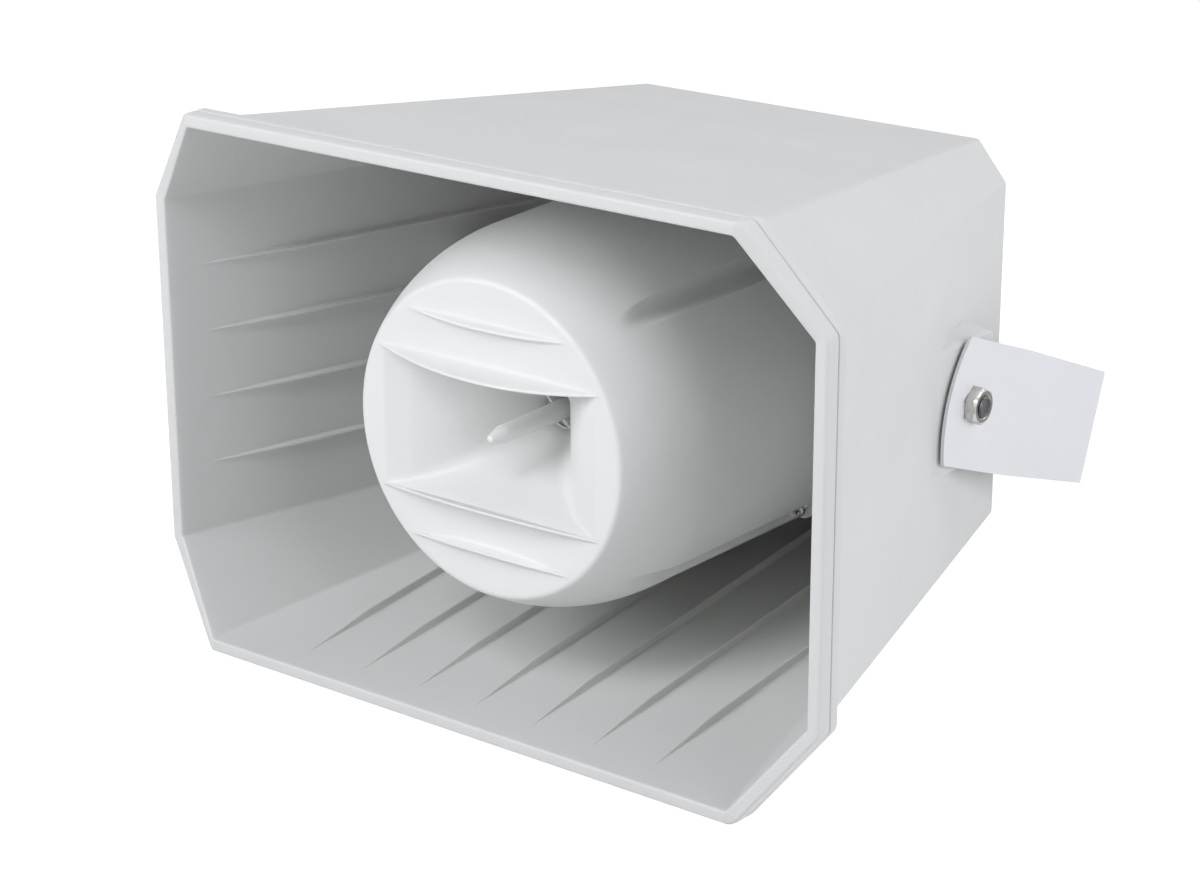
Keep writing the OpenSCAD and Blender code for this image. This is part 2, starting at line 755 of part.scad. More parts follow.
module phase_plug() {
    tip = bell_front + plug_tip_at;
    tip_r = plug_r / 2;
    nose = plug_r * 2;
    foot = treble_seat_y - plug_ring_t;
    color(bell_grey) {
        turned(concat([[0, tip]],
            [for (i = [1 : 4]) [tip_r * sin(i * 18), tip + tip_r * (1 - cos(i * 18))]],
            [[plug_r, tip + nose], [plug_r, treble_seat_y], [0, treble_seat_y]]));
        ring_y(foot, plug_ring_t, plug_ring_r, throat_r - 1);
        difference() {
            rotate([0, vane_turn, 0]) translate([-throat_r + 0.2, throat_y - 4, -vane_t / 2])
                cube([2 * throat_r - 0.4, treble_seat_y - throat_y + 4, vane_t]);
            rod_y(0, throat_y - 5, 0, plug_r - 1, treble_d);
        }
    }
}

module treble_face_plate() {
    color(steel) ring_y(face_y, face_t, face_r, face_hole_r);
}

// The dome, its flat flange and the former that hangs from it in the gap.
module treble_diaphragm() {
    t = 0.3;
    color("#a19e9a") turned(concat(
        [for (i = [0 : 8]) [dome_r * sin(i * 11.25), dome_y + t - dome_h * cos(i * 11.25)]],
        [[dome_r + 1.8, dome_y - 0.9], [dome_r + 3.6, dome_y], [dome_r + 15, dome_y],
            [dome_r + 15, dome_y + dome_flange_t], [dome_r + 3.4, dome_y + dome_flange_t],
            [dome_r + 1.6, dome_y], [dome_r + 0.3, dome_y + 0.8], [dome_r + 0.3, dome_y + 6.5],
            [dome_r, dome_y + 6.5], [dome_r, dome_y + 0.8]],
        [for (i = [8 : -1 : 0])
            [(dome_r - t) * sin(i * 11.25), dome_y + t - (dome_h - t) * cos(i * 11.25)]]));
}

module treble_top_plate() {
    color(plated) ring_y(treble_top_y, treble_top_t, treble_magnet_r - 2, dome_r + 0.8);
}

module treble_magnet() {
    color(ferrite) ring_y(treble_magnet_y, treble_magnet_t, treble_magnet_r, dome_r + 6);
}

module treble_yoke() {
    pole = dome_r - 0.5;
    color(plated) {
        rod_y(0, treble_yoke_y, 0, treble_magnet_r - 2, treble_yoke_t);
        rod_y(0, treble_top_y + 1, 0, pole, treble_yoke_y - treble_top_y);
    }
}

// A plastic cup with four ears that clamps the treble driver to the throat.
module treble_housing() {
    color("#46484a") difference() {
        union() {
            rod_y(0, face_y, 0, housing_open_r + housing_wall, housing_end + housing_wall - face_y);
            on_circle(4, treble_screw_circle - 2, 45) rod_y(0, face_y, 0, ear_r, ear_t);
        }
        rod_y(0, face_y - over, 0, housing_open_r, housing_end - face_y + over);
        on_circle(4, treble_screw_circle, 45) rod_y(0, face_y - over, 0, 1.7, ear_t + 2 * over);
        rod_y(0, housing_end - over, 0, 5, housing_wall + 2 * over);
    }
}

module treble_screws() {
    color(steel) on_circle(4, treble_screw_circle, 45)
        screw_y(face_y + ear_t, -1, 1.45, ear_t + throat_flange_t - 2, 3, 2);
}

// The round plate on the bell's posts, with lightening holes at its sides.
module electronics_plate() {
    color("#8e9296") difference() {
        rod_y(0, plate_y, 0, plate_r, plate_t);
        for (i = [-1 : 1])
            rod_y(i * plate_hole_x, plate_y - over, 0, plate_hole_r, plate_t + 2 * over);
        at_corners(post_x, post_z) rod_y(0, plate_y - over, 0, post_hole_r + 0.3, plate_t + 2 * over);
        for (sx = [-1, 1])
            rod_y(sx * strap_hole_x, plate_y - over, strap_hole_z, 1.8, plate_t + 2 * over);
        board_places() rod_y(0, plate_y - over, 0, 1.4, plate_t + 2 * over);
    }
}

module plate_screws() {
    color(steel) at_corners(post_x, post_z)
        screw_y(plate_y + plate_t, -1, post_hole_r - fit, 12, 3.2, 2);
}

// The transformer stands on the plate below the axis, its coil along Z.
module transformer_core() {
    limb = core_w / 6;
    color("#5a5c5e") translate([0, core_y + core_stack / 2 + strap_rise, core_z]) difference() {
        cube([core_w, core_stack, core_h], center = true);
        for (sx = [-1, 1]) translate([sx * (core_w / 4 + limb / 4 - 0.5), 0, 0])
            cube([core_w / 2 - 1.5 * limb - 1, core_stack + 2 * over, core_h - 2 * limb], center = true);
    }
}

module transformer_coil() {
    limb = core_w / 6;
    hole_x = core_w / 4 + limb / 4 - 0.5 - (core_w / 2 - 1.5 * limb - 1) / 2;
    outer_x = hole_x + core_w / 2 - 1.5 * limb - 1 - 0.3;
    tall = core_h - 2 * limb - 0.6;
    color("#c9a24a") translate([0, core_y + core_stack / 2 + strap_rise, core_z]) difference() {
        cube([2 * outer_x, core_stack + 14, tall], center = true);
        cube([2 * hole_x + fit, core_stack + 0.3, tall + over], center = true);
    }
}

// A folded strap over the core, with two screwed feet.
module transformer_frame() {
    t = 1.5;
    half = core_w / 2 + fit;
    top = core_y + core_stack + strap_rise + fit;
    foot = 13;
    base = plate_y + plate_t;
    color(plated) difference() {
        translate([0, 0, core_z + core_h / 2 - strap_depth]) linear_extrude(strap_depth)
            polygon([[-half - foot, base], [-half, base], [-half, top], [half, top], [half, base],
                [half + foot, base], [half + foot, base + t], [half + t, base + t],
                [half + t, top + t], [-half - t, top + t], [-half - t, base + t],
                [-half - foot, base + t]]);
        for (sx = [-1, 1])
            rod_y(sx * strap_hole_x, base - over, strap_hole_z, 1.8, t + 2 * over);
    }
}

module transformer_screws() {
    color(steel) for (sx = [-1, 1]) translate([sx * strap_hole_x, 0, strap_hole_z])
        screw_y(plate_y + plate_t + 1.5, -1, 1.7, 6, 3, 2);
}

module board_places() {
    for (sx = [-1, 1], sz = [-1, 1])
        translate([sx * (board_w / 2 - 12), 0, board_z + sz * (board_h / 2 - 4)]) children();
}

module crossover_board() {
    color(board_green) difference() {
        translate([-board_w / 2, board_y, board_z - board_h / 2]) cube([board_w, board_t, board_h]);
        board_places() rod_y(0, board_y - over, 0, 1.5, board_t + 2 * over);
    }
}

module board_spacers() {
    color("#d8d8d0") board_places() ring_y(plate_y + plate_t, board_y - plate_y - plate_t, 3, 1.5);
}

module board_screws() {
    color(steel) board_places() screw_y(board_y + board_t, -1, 1.3, board_t + 8, 2.6, 1.8);
}

// An air-cored coil wound on a flanged bobbin.
module crossover_coil() {
    color(copper) translate([-20, 0, board_z]) turned([[7, parts_y], [15, parts_y],
        [15, parts_y + 1.5], [13.5, parts_y + 1.5], [13.5, parts_y + 14.5],
        [15, parts_y + 14.5], [15, parts_y + 16], [7, parts_y + 16]]);
}

// Two capacitors that lie side by side on the board, with crimped ends.
module crossover_capacitors() {
    r = 6;
    color("#35507a") for (i = [0, 1])
        translate([2, parts_y + r, board_z - 13 + i * (2 * r + 1)]) rotate([0, 90, 0])
            rotate_extrude() polygon([[0, 0], [r - 1, 0], [r, 1], [r, 3], [r - 0.7, 3.6],
                [r, 4.2], [r, 27], [r - 1, 28], [0, 28]]);
}

module crossover_resistor() {
    color("#e6e2d6") translate([2, parts_y, board_z + 12]) cube([26, 8, 7]);
}

// The terminal block: a row of wells with a wire entry in front of each.
module terminal_block() {
    pitch = 6;
    color("#3c7a52") translate([-26, parts_y, board_z + 16.5]) difference() {
        cube([4 * pitch, 9, 7.5]);
        for (i = [0 : 3]) translate([(i + 0.5) * pitch, 0, 0]) {
            translate([0, 3, 3.7]) rotate([-90, 0, 0]) cylinder(r = 2, h = 7);
            translate([-1.7, 1.5, 4]) cube([3.4, 4, 4.5]);
        }
    }
}

// Takes the channel walls and the screw circle out of a ring in the bell.
module clear_of_channels(y, t) {
    at_corners(screw_xy, screw_xy) rod_y(0, y - over, 0, channel_wall_r + 0.5, t + 2 * over);
}

module baffle_gasket() {
    y = baffle_y - gasket_t;
    color(rubber_black) difference() {
        ring_y(y, gasket_t, baffle_r, baffle_r - ledge_ring_w);
        clear_of_channels(y, gasket_t);
        on_circle(8, baffle_circle, baffle_turn)
            rod_y(0, y - over, 0, baffle_screw_r + 0.4, gasket_t + 2 * over);
    }
}

module baffle() {
    color("#55585a") difference() {
        union() {
            ring_y(baffle_y, baffle_t, baffle_r, baffle_hole_r);
            on_circle(8, woofer_circle, 0) rod_y(0, baffle_y - 8, 0, 5, 8 + over);
        }
        rod_y(0, baffle_y - 10, 0, baffle_hole_r, baffle_t + 12);
        clear_of_channels(baffle_y, baffle_t);
        on_circle(8, baffle_circle, baffle_turn)
            rod_y(0, baffle_y - over, 0, baffle_screw_r + 0.3, baffle_t + 2 * over);
        on_circle(8, woofer_circle, 0)
            rod_y(0, baffle_y - 7, 0, woofer_screw_r + fit, baffle_t + 7 + over);
    }
}

module baffle_screws() {
    color(steel) on_circle(8, baffle_circle, baffle_turn)
        screw_y(baffle_y + baffle_t, -1, baffle_screw_r, baffle_t + 14, 3.6, 2.4);
}

// A rubber bush with a groove that grips the bell's skin, where its wires pass.
module bell_grommet() {
    skin = bell_r(grommet_y);
    lip = 1.6;
    gap = 0.25;
    color(rubber_black) translate([0, grommet_y, -skin]) rotate([180, 0, 0]) rotate_extrude()
        polygon([[1.4, lip + gap], [grommet_r + 1.4, lip + gap], [grommet_r + 1.4, gap],
            [grommet_r - fit, gap], [grommet_r - fit, -bell_wall - gap],
            [grommet_r + 1.4, -bell_wall - gap], [grommet_r + 1.4, -bell_wall - gap - lip],
            [1.4, -bell_wall - gap - lip]]);
}

module woofer_gasket() {
    color(rubber_black) difference() {
        ring_y(flange_y - gasket_t, gasket_t, woofer_r, baffle_hole_r);
        on_circle(8, woofer_circle, 0)
            rod_y(0, flange_y - gasket_t - over, 0, woofer_screw_r + 0.3, gasket_t + 2 * over);
    }
}

// The pressed basket: flange, drawn cone with windows, spider seat and floor.
module woofer_basket() {
    floor_r = magnet_r - 1;
    step = spider_r + 2;
    seat = spider_y - fit;
    rim_in = baffle_hole_r - 1.5;
    color("#4a4c4e") difference() {
        turned([[former_r + 4, basket_seat_y], [floor_r, basket_seat_y], [step - 4, seat - 6],
            [step, seat - basket_t], [step + 2, seat - basket_t], [rim_in, flange_y],
            [woofer_r, flange_y], [woofer_r, flange_y + flange_t],
            [rim_in - basket_t - 1, flange_y + flange_t], [step + 1, seat], [spider_r - 6, seat],
            [spider_r - 6, seat - basket_t], [step - 5.5, seat - 5],
            [floor_r - 1, basket_seat_y + basket_t],
            [former_r + 4, basket_seat_y + basket_t]]);
        on_circle(6, (step + rim_in) / 2 + 4, 30) rod_y(0, seat + 4, 0, 12, flange_y - seat - 9);
        on_circle(8, woofer_circle, 0)
            rod_y(0, flange_y - over, 0, woofer_screw_r + 0.3, flange_t + 2 * over);
    }
}

module woofer_screws() {
    color(steel) on_circle(8, woofer_circle, 0)
        screw_y(flange_y + flange_t, -1, woofer_screw_r, flange_t + gasket_t + baffle_t + 5, 3.8, 2.4);
}

// The half roll that joins the cone's edge to the basket's flange.
module woofer_surround() {
    t = 0.7;
    y = flange_y + flange_t + fit;
    inner = cone_r;
    outer = baffle_hole_r - 3;
    mid = (inner + outer) / 2;
    roll = (outer - inner) / 2;
    color("#1a1a1c") turned(concat(
        [[inner - 5, y], [inner, y]],
        [for (i = [1 : 11]) [mid - roll * cos(i * 15), y + roll * sin(i * 15)]],
        [[outer, y], [outer + 4, y], [outer + 4, y + t]],
        [for (i = [11 : -1 : 1]) [mid - (roll + t) * cos(i * 15), y + t / 3 + (roll + t) * sin(i * 15)]],
        [[inner - 5, y + t]]));
}

// The corrugated spider between the former and its seat on the basket.
module woofer_spider() {
    t = 0.6;
    inner = former_r + 0.2;
    waves = 4;
    steps = 32;
    pitch = (spider_r - 5 - inner) / steps;
    color("#c9a03c") turned(concat(
        [for (i = [0 : steps]) [inner + i * pitch, spider_y + 1.2 * (1 - cos(i * 360 * waves / steps))]],
        [[spider_r, spider_y], [spider_r, spider_y + t]],
        [for (i = [steps : -1 : 0])
            [inner + i * pitch, spider_y + t + 1.2 * (1 - cos(i * 360 * waves / steps))]]));
}

// The paper cone, a gently curved flare.
module woofer_cone() {
    neck = former_r + 0.06;
    steps = 12;
    color(paper_black) turned(concat(
        [for (i = [0 : steps]) [bent(neck, neck + 22, cone_r, i / steps),
            bent(cone_neck_y, cone_neck_y + 18, cone_edge_y, i / steps)]],
        [[cone_r, cone_edge_y + cone_t]],
        [for (i = [steps : -1 : 0]) [bent(neck, neck + 22, cone_r, i / steps) - 0.2 * (i > 0 ? 1 : 0),
            bent(cone_neck_y, cone_neck_y + 18, cone_edge_y, i / steps) + cone_t]]));
}

module dust_cap() {
    base_r = former_r + 2.5;
    base_y = cone_neck_y + 3;
    t = 0.6;
    color("#303032") turned(concat(
        [for (i = [0 : 9]) [base_r * sin(i * 10), base_y + 9 * cos(i * 10)]],
        [[base_r - t, base_y]],
        [for (i = [8 : -1 : 0]) [(base_r - t) * sin(i * 10), base_y + (9 - t) * cos(i * 10)]]));
}

// The former and its winding, centred in the magnet's gap.
module voice_coil() {
    wind_h = 12;
    wind_y = top_plate_y + pole_plate_t / 2 - wind_h / 2;
    color(copper) turned([
        [former_r - 0.3, wind_y - 1], [former_r, wind_y - 1], [former_r, wind_y],
        [former_r + 0.9, wind_y], [former_r + 0.9, wind_y + wind_h], [former_r, wind_y + wind_h],
        [former_r, cone_neck_y + 3], [former_r - 0.3, cone_neck_y + 3]]);
}

module woofer_top_plate() {
    color(plated) ring_y(top_plate_y, pole_plate_t, magnet_r - 2, former_r + 1.5);
}

module woofer_magnet() {
    color(ferrite) ring_y(magnet_y, magnet_t, magnet_r, former_r + 7);
}

// The back plate with the pole that carries the field into the coil.
module woofer_yoke() {
    pole = former_r - 0.9;
    color(plated) difference() {
        turned([[0, yoke_y], [magnet_r - 4, yoke_y], [magnet_r - 2, yoke_y + 2],
            [magnet_r - 2, magnet_y], [pole + 3, magnet_y], [pole, magnet_y + 3],
            [pole, basket_seat_y], [0, basket_seat_y]]);
        rod_y(0, yoke_y - over, 0, 4, basket_seat_y - yoke_y + 2 * over);
    }
}

// The cable gland, from the thread inside the horn to the cap outside.
module gland_body() {
    hex = gland_r + 3;
    color(nylon_grey) translate([0, body_d + gland_seal_t, -gland_drop]) difference() {
        union() {
            rotate([-90, 0, 0]) cylinder(r = hex / cos(30), h = 6, $fn = 6);
            translate([0, -gland_seal_t - rear_wall - 8, 0]) rotate([-90, 0, 0])
                cylinder(r = gland_r, h = gland_seal_t + rear_wall + 8 + over);
            rotate([-90, 0, 0]) cylinder(r = gland_r, h = 15);
        }
        translate([0, -gland_seal_t - rear_wall - 9, 0]) rotate([-90, 0, 0])
            cylinder(r = gland_r - 3, h = 40);
    }
}

module gland_seal() {
    color(rubber_black) translate([0, 0, -gland_drop])
        ring_y(body_d, gland_seal_t, gland_r + 3, gland_r + fit);
}

module gland_locknut() {
    color(nylon_grey) translate([0, rear_inside - 5, -gland_drop]) rotate([-90, 0, 0])
        difference() {
            cylinder(r = (gland_r + 3) / cos(30), h = 5, $fn = 6);
            translate([0, 0, -over]) cylinder(r = gland_r + fit, h = 5 + 2 * over);
        }
}

// The domed cap that squeezes the gland, with grip ribs round it.
module gland_cap() {
    start = body_d + gland_seal_t + 6.5;
    color(nylon_grey) translate([0, 0, -gland_drop]) difference() {
        union() {
            turned([[0, start], [gland_r + 2, start], [gland_r + 2, start + 9],
                [gland_r + 0.5, start + 13], [gland_r - 2, start + 15], [0, start + 15]]);
            on_circle(12, gland_r + 2, 0) rod_y(0, start, 0, 0.9, 9);
        }
        rod_y(0, start - over, 0, gland_r + fit, 9 + over);
        rod_y(0, start, 0, gland_r - 3, 20);
    }
}

horn_shell();
pivot_inserts();
pivot_bolts();
pivot_washers();
pivot_nuts();
bracket();
bell();
bell_screws();
phase_plug();
treble_face_plate();
treble_diaphragm();
treble_top_plate();
treble_magnet();
treble_yoke();
treble_housing();
treble_screws();
electronics_plate();
plate_screws();
transformer_core();
transformer_coil();
transformer_frame();
transformer_screws();
crossover_board();
board_spacers();
board_screws();
crossover_coil();
crossover_capacitors();
crossover_resistor();
terminal_block();
baffle_gasket();
baffle();
baffle_screws();
bell_grommet();
woofer_gasket();
woofer_basket();
woofer_screws();
woofer_surround();
woofer_spider();
woofer_cone();
dust_cap();
voice_coil();
woofer_top_plate();
woofer_magnet();
woofer_yoke();
gland_body();
gland_seal();
gland_locknut();
gland_cap();
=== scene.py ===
"""Weatherproof two-way music horn: its detailed pieces, finishes, camera and light.

The mouth faces -Y and +Z is up. Pieces are drawn in millimetres and become metres when
they are made, and the stage's own sizes are in metres. Every piece stands where the
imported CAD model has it.
"""

import json
import logging
from dataclasses import dataclass
from enum import Enum
from math import atan2, copysign, cos, degrees, hypot, pi, radians, sin, sqrt
from typing import Callable, Iterable, Sequence

import bmesh
import bpy
from mathutils import Matrix, Vector


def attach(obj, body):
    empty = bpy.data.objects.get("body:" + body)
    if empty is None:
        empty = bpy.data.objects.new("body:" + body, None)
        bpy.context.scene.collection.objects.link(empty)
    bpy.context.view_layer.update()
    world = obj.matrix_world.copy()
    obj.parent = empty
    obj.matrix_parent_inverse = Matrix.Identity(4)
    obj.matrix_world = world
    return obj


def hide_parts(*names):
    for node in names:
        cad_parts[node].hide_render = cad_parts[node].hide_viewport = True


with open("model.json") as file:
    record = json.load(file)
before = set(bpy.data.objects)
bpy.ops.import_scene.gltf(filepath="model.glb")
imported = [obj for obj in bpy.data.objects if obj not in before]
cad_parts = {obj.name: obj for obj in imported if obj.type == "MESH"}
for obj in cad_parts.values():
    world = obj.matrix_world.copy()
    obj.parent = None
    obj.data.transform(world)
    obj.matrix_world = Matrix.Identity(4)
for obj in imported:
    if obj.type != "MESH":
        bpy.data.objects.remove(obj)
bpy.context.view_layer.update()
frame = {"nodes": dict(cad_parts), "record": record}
LOG = logging.getLogger("horn")
MM = 0.001
# Vertices closer than this many millimetres are welded.
WELD = 0.02
# Ribs and pillars end this many millimetres inside the wall that they meet.
SINK = 1.0
# Depth of the pivots behind the mouth's front.
PIVOT_Y = 276.4
# Distance of the bell's screws from the axis.
SCREW_R = 126.0
# Radius of the treble horn's throat.
THROAT_R = 14.0

# Points of an outline and in space, colours, and short names for Blender's types.
Flat = tuple[float, float]
Point = tuple[float, float, float]
Colour = tuple[float, float, float, float]
Mesh = bmesh.types.BMesh
Edge = bmesh.types.BMEdge
Tree = bpy.types.NodeTree
Socket = bpy.types.NodeSocket


class Body(Enum):
    """The CAD bodies that a piece can ride on."""

    BRACKET = "bracket"
    HORN = "horn"


# Finishes


def linear(code: str) -> Colour:
    """Turns an sRGB hex colour into the linear colour that shaders take.

    Args:
        code: Six hex digits after a hash sign.

    Returns:
        Linear red, green, blue and an alpha of 1.
    """
    parts = [int(code[i:i + 2], 16) / 255 for i in (1, 3, 5)]
    flat = [((c + 0.055) / 1.055) ** 2.4 if c > 0.04045 else c / 12.92 for c in parts]
    return (flat[0], flat[1], flat[2], 1.0)


def empty_tree(owner: bpy.types.Material | bpy.types.World) -> Tree:
    """Switches nodes on for a material or a world and clears them.

    Args:
        owner: The material or world.

    Returns:
        Its node tree, with nothing in it.
    """
    owner.use_nodes = True
    owner.node_tree.nodes.clear()
    return owner.node_tree


def add_node(tree: Tree, kind: str, inputs: dict | None = None, **settings: object) -> bpy.types.Node:
    """Adds a node with its settings, and sets or links its inputs.

    Args:
        tree: The node tree that gets it.
        kind: Blender's name for the node type.
        inputs: Socket name or number to a value, or to the socket it comes from.
        **settings: Attributes set on the node itself.

    Returns:
        The new node.
    """
    made = tree.nodes.new(kind)
    for key, value in settings.items():
        setattr(made, key, value)
    for key, value in (inputs or {}).items():
        if isinstance(value, Socket):
            tree.links.new(value, made.inputs[key])
        else:
            made.inputs[key].default_value = value
    return made


def worked(tree: Tree, operation: str, *values: Socket | float) -> Socket:
    """Adds a Math node and gives its result."""
    return add_node(tree, "ShaderNodeMath", dict(enumerate(values)), operation=operation).outputs[0]


def blend(tree: Tree, share: Socket, first: Socket | Colour, second: Socket | Colour) -> Socket:
    """Mixes two colours.

    Args:
        tree: The material's node tree.
        share: How much there is of the second colour.
        first: A colour, or the socket that carries it.
        second: The other colour, or its socket.

    Returns:
        The socket that carries the mixed colour.
    """
    mix = add_node(tree, "ShaderNodeMix", {"Factor": share, "A": first, "B": second}, data_type="RGBA")
    return next(s for s in mix.outputs if s.type == "RGBA")


def per_metre(size_mm: float) -> float:
    """Tells how often a size fits into a metre, which is how textures are scaled."""
    return 1000 / size_mm


def bands(tree: Tree, place: Socket, spacing_mm: float, axis: str) -> Socket:
    """Draws even bands.

    Args:
        tree: The material's node tree.
        place: Object coordinates.
        spacing_mm: Spacing of the bands.
        axis: Axis that they are stacked along.

    Returns:
        The socket of a value that is 1 on a band's crown and 0 in the gap.
    """
    # At scale 1 a wave texture has 10 / pi bands in a metre.
    scale = per_metre(spacing_mm) / 10 * pi
    wave = add_node(tree, "ShaderNodeTexWave", {"Vector": place, "Scale": scale}, bands_direction=axis)
    return wave.outputs["Fac"]


@dataclass(frozen=True)
class Finish:
    """What every finish has: a colour that drifts a little and a fine relief.

    Attributes:
        name: The material's name.
        colour: Main colour, sRGB.
        shade: Colour of the slightly darker clouds, sRGB.
        roughness: Mean roughness.
        spread: How far the roughness drifts either way.
        metallic: 1 for bare metal.
        ior: Index of refraction, for what isn't metal.
        grain_mm: Size of the relief's grain.
        relief_mm: Height of the relief.
        cloud_mm: Size of the clouds in the colour.
        coat: Weight of a clear coat.
    """

    name: str
    colour: str
    shade: str
    roughness: float = 0.5
    spread: float = 0.05
    metallic: float = 0.0
    ior: float = 1.5
    grain_mm: float = 0.8
    relief_mm: float = 0.03
    cloud_mm: float = 60.0
    coat: float = 0.0

    def build(self) -> bpy.types.Material:
        """Makes the material.

        Returns:
            The node material, ready to be assigned.
        """
        made = bpy.data.materials.new(self.name)
        tree = empty_tree(made)
        place = add_node(tree, "ShaderNodeTexCoord").outputs["Object"]
        clouds = add_node(tree, "ShaderNodeTexNoise", {
            "Vector": place, "Scale": per_metre(self.cloud_mm), "Detail": 4.0, "Roughness": 0.6})
        colour = blend(tree, clouds.outputs["Fac"], linear(self.shade), linear(self.colour))
        rough = add_node(tree, "ShaderNodeMapRange", {
            "Value": clouds.outputs["Fac"], "From Min": 0.3, "From Max": 0.7,
            "To Min": self.roughness + self.spread, "To Max": self.roughness - self.spread})
        bump = add_node(tree, "ShaderNodeBump", {
            "Height": self.relief(tree, place), "Strength": 1.0, "Distance": self.relief_mm * MM})
        shader = add_node(tree, "ShaderNodeBsdfPrincipled", {
            "Base Color": self.tint(tree, colour, place), "Roughness": rough.outputs["Result"],
            "Metallic": self.metallic, "IOR": self.ior, "Coat Weight": self.coat,
            "Normal": bump.outputs["Normal"]})
        add_node(tree, "ShaderNodeOutputMaterial", {"Surface": shader.outputs["BSDF"]})
        return made

    def relief(self, tree: Tree, place: Socket) -> Socket:
        """Gives the height pattern: here, an even cast or moulded grain.

        Args:
            tree: The material's node tree.
            place: Object coordinates.

        Returns:
            The socket that carries the height.
        """
        grain = add_node(tree, "ShaderNodeTexNoise", {
            "Vector": place, "Scale": per_metre(self.grain_mm), "Detail": 2.0, "Roughness": 0.5})
        return grain.outputs["Fac"]

    def tint(self, tree: Tree, colour: Socket, place: Socket) -> Socket:
        """Changes the colour by the finish's own pattern: here, not at all."""
        return colour


@dataclass(frozen=True)
class Banded(Finish):
    """A finish with even bands, as wound wire or stacked sheets have.

    Attributes:
        band_mm: Spacing of the bands, drawn coarser than the real one so that it shows.
        gap: Colour in the gaps, sRGB.
        across: Axis that the bands are stacked along.
    """

    band_mm: float = 2.0
    gap: str = "#303234"
    across: str = "Y"

    def relief(self, tree: Tree, place: Socket) -> Socket:
        """Rounds each band, so that every wire or sheet has its own edge light."""
        return bands(tree, place, self.band_mm, self.across)

    def tint(self, tree: Tree, colour: Socket, place: Socket) -> Socket:
        """Darkens the gaps between the bands."""
        return blend(tree, self.relief(tree, place), linear(self.gap), colour)


@dataclass(frozen=True)
class Brushed(Finish):
    """Bare metal that was turned or ground: fine scratches run one way.

    Attributes:
        stretch: How much finer the grain is along each axis than along the scratches.
    """

    stretch: Point = (1.0, 12.0, 12.0)

    def relief(self, tree: Tree, place: Socket) -> Socket:
        """Stretches the grain into scratches.

        Args:
            tree: The material's node tree.
            place: Object coordinates.

        Returns:
            The socket that carries the height.
        """
        drawn = add_node(tree, "ShaderNodeMapping", {"Vector": place, "Scale": self.stretch})
        scale = per_metre(self.grain_mm) / max(self.stretch)
        grain = add_node(tree, "ShaderNodeTexNoise", {
            "Vector": drawn.outputs["Vector"], "Scale": scale, "Detail": 3.0})
        return grain.outputs["Fac"]


@dataclass(frozen=True)
class EndShaded(Brushed):
    """A nut's metal: brushed flats round the X axis, and painted shade on the end faces across it.

    Attributes:
        ends: Colour of the painted shade on the end faces, sRGB.
    """

    # Painted shade given to the end faces.
    ends: str = "#7c7b79"

    def tint(self, tree: Tree, colour: Socket, place: Socket) -> Socket:
        """Paints shade on the faces that look along the X axis, chosen by their normals.

        Args:
            tree: The material's node tree.
            colour: The finish's colour so far.
            place: Object coordinates; not used.

        Returns:
            The socket that carries the colour.
        """
        facing = add_node(tree, "ShaderNodeTexCoord").outputs["Normal"]
        along = add_node(tree, "ShaderNodeSeparateXYZ", {0: facing}).outputs["X"]
        # Painted shade: faces whose normals run along X take the darker end colour.
        share = add_node(tree, "ShaderNodeMapRange", {
            "Value": worked(tree, "ABSOLUTE", along), "From Min": 0.88, "From Max": 0.97})
        return blend(tree, share.outputs["Result"], colour, linear(self.ends))


@dataclass(frozen=True)
class Woven(Finish):
    """Resin-treated cloth: threads cross over and under.

    Attributes:
        thread_mm: Thread spacing, drawn coarser than the real one so that it shows.
    """

    thread_mm: float = 2.4

    def relief(self, tree: Tree, place: Socket) -> Socket:
        """Crosses two sets of bands."""
        return worked(tree, "MULTIPLY", *(bands(tree, place, self.thread_mm, axis) for axis in ("X", "Z")))


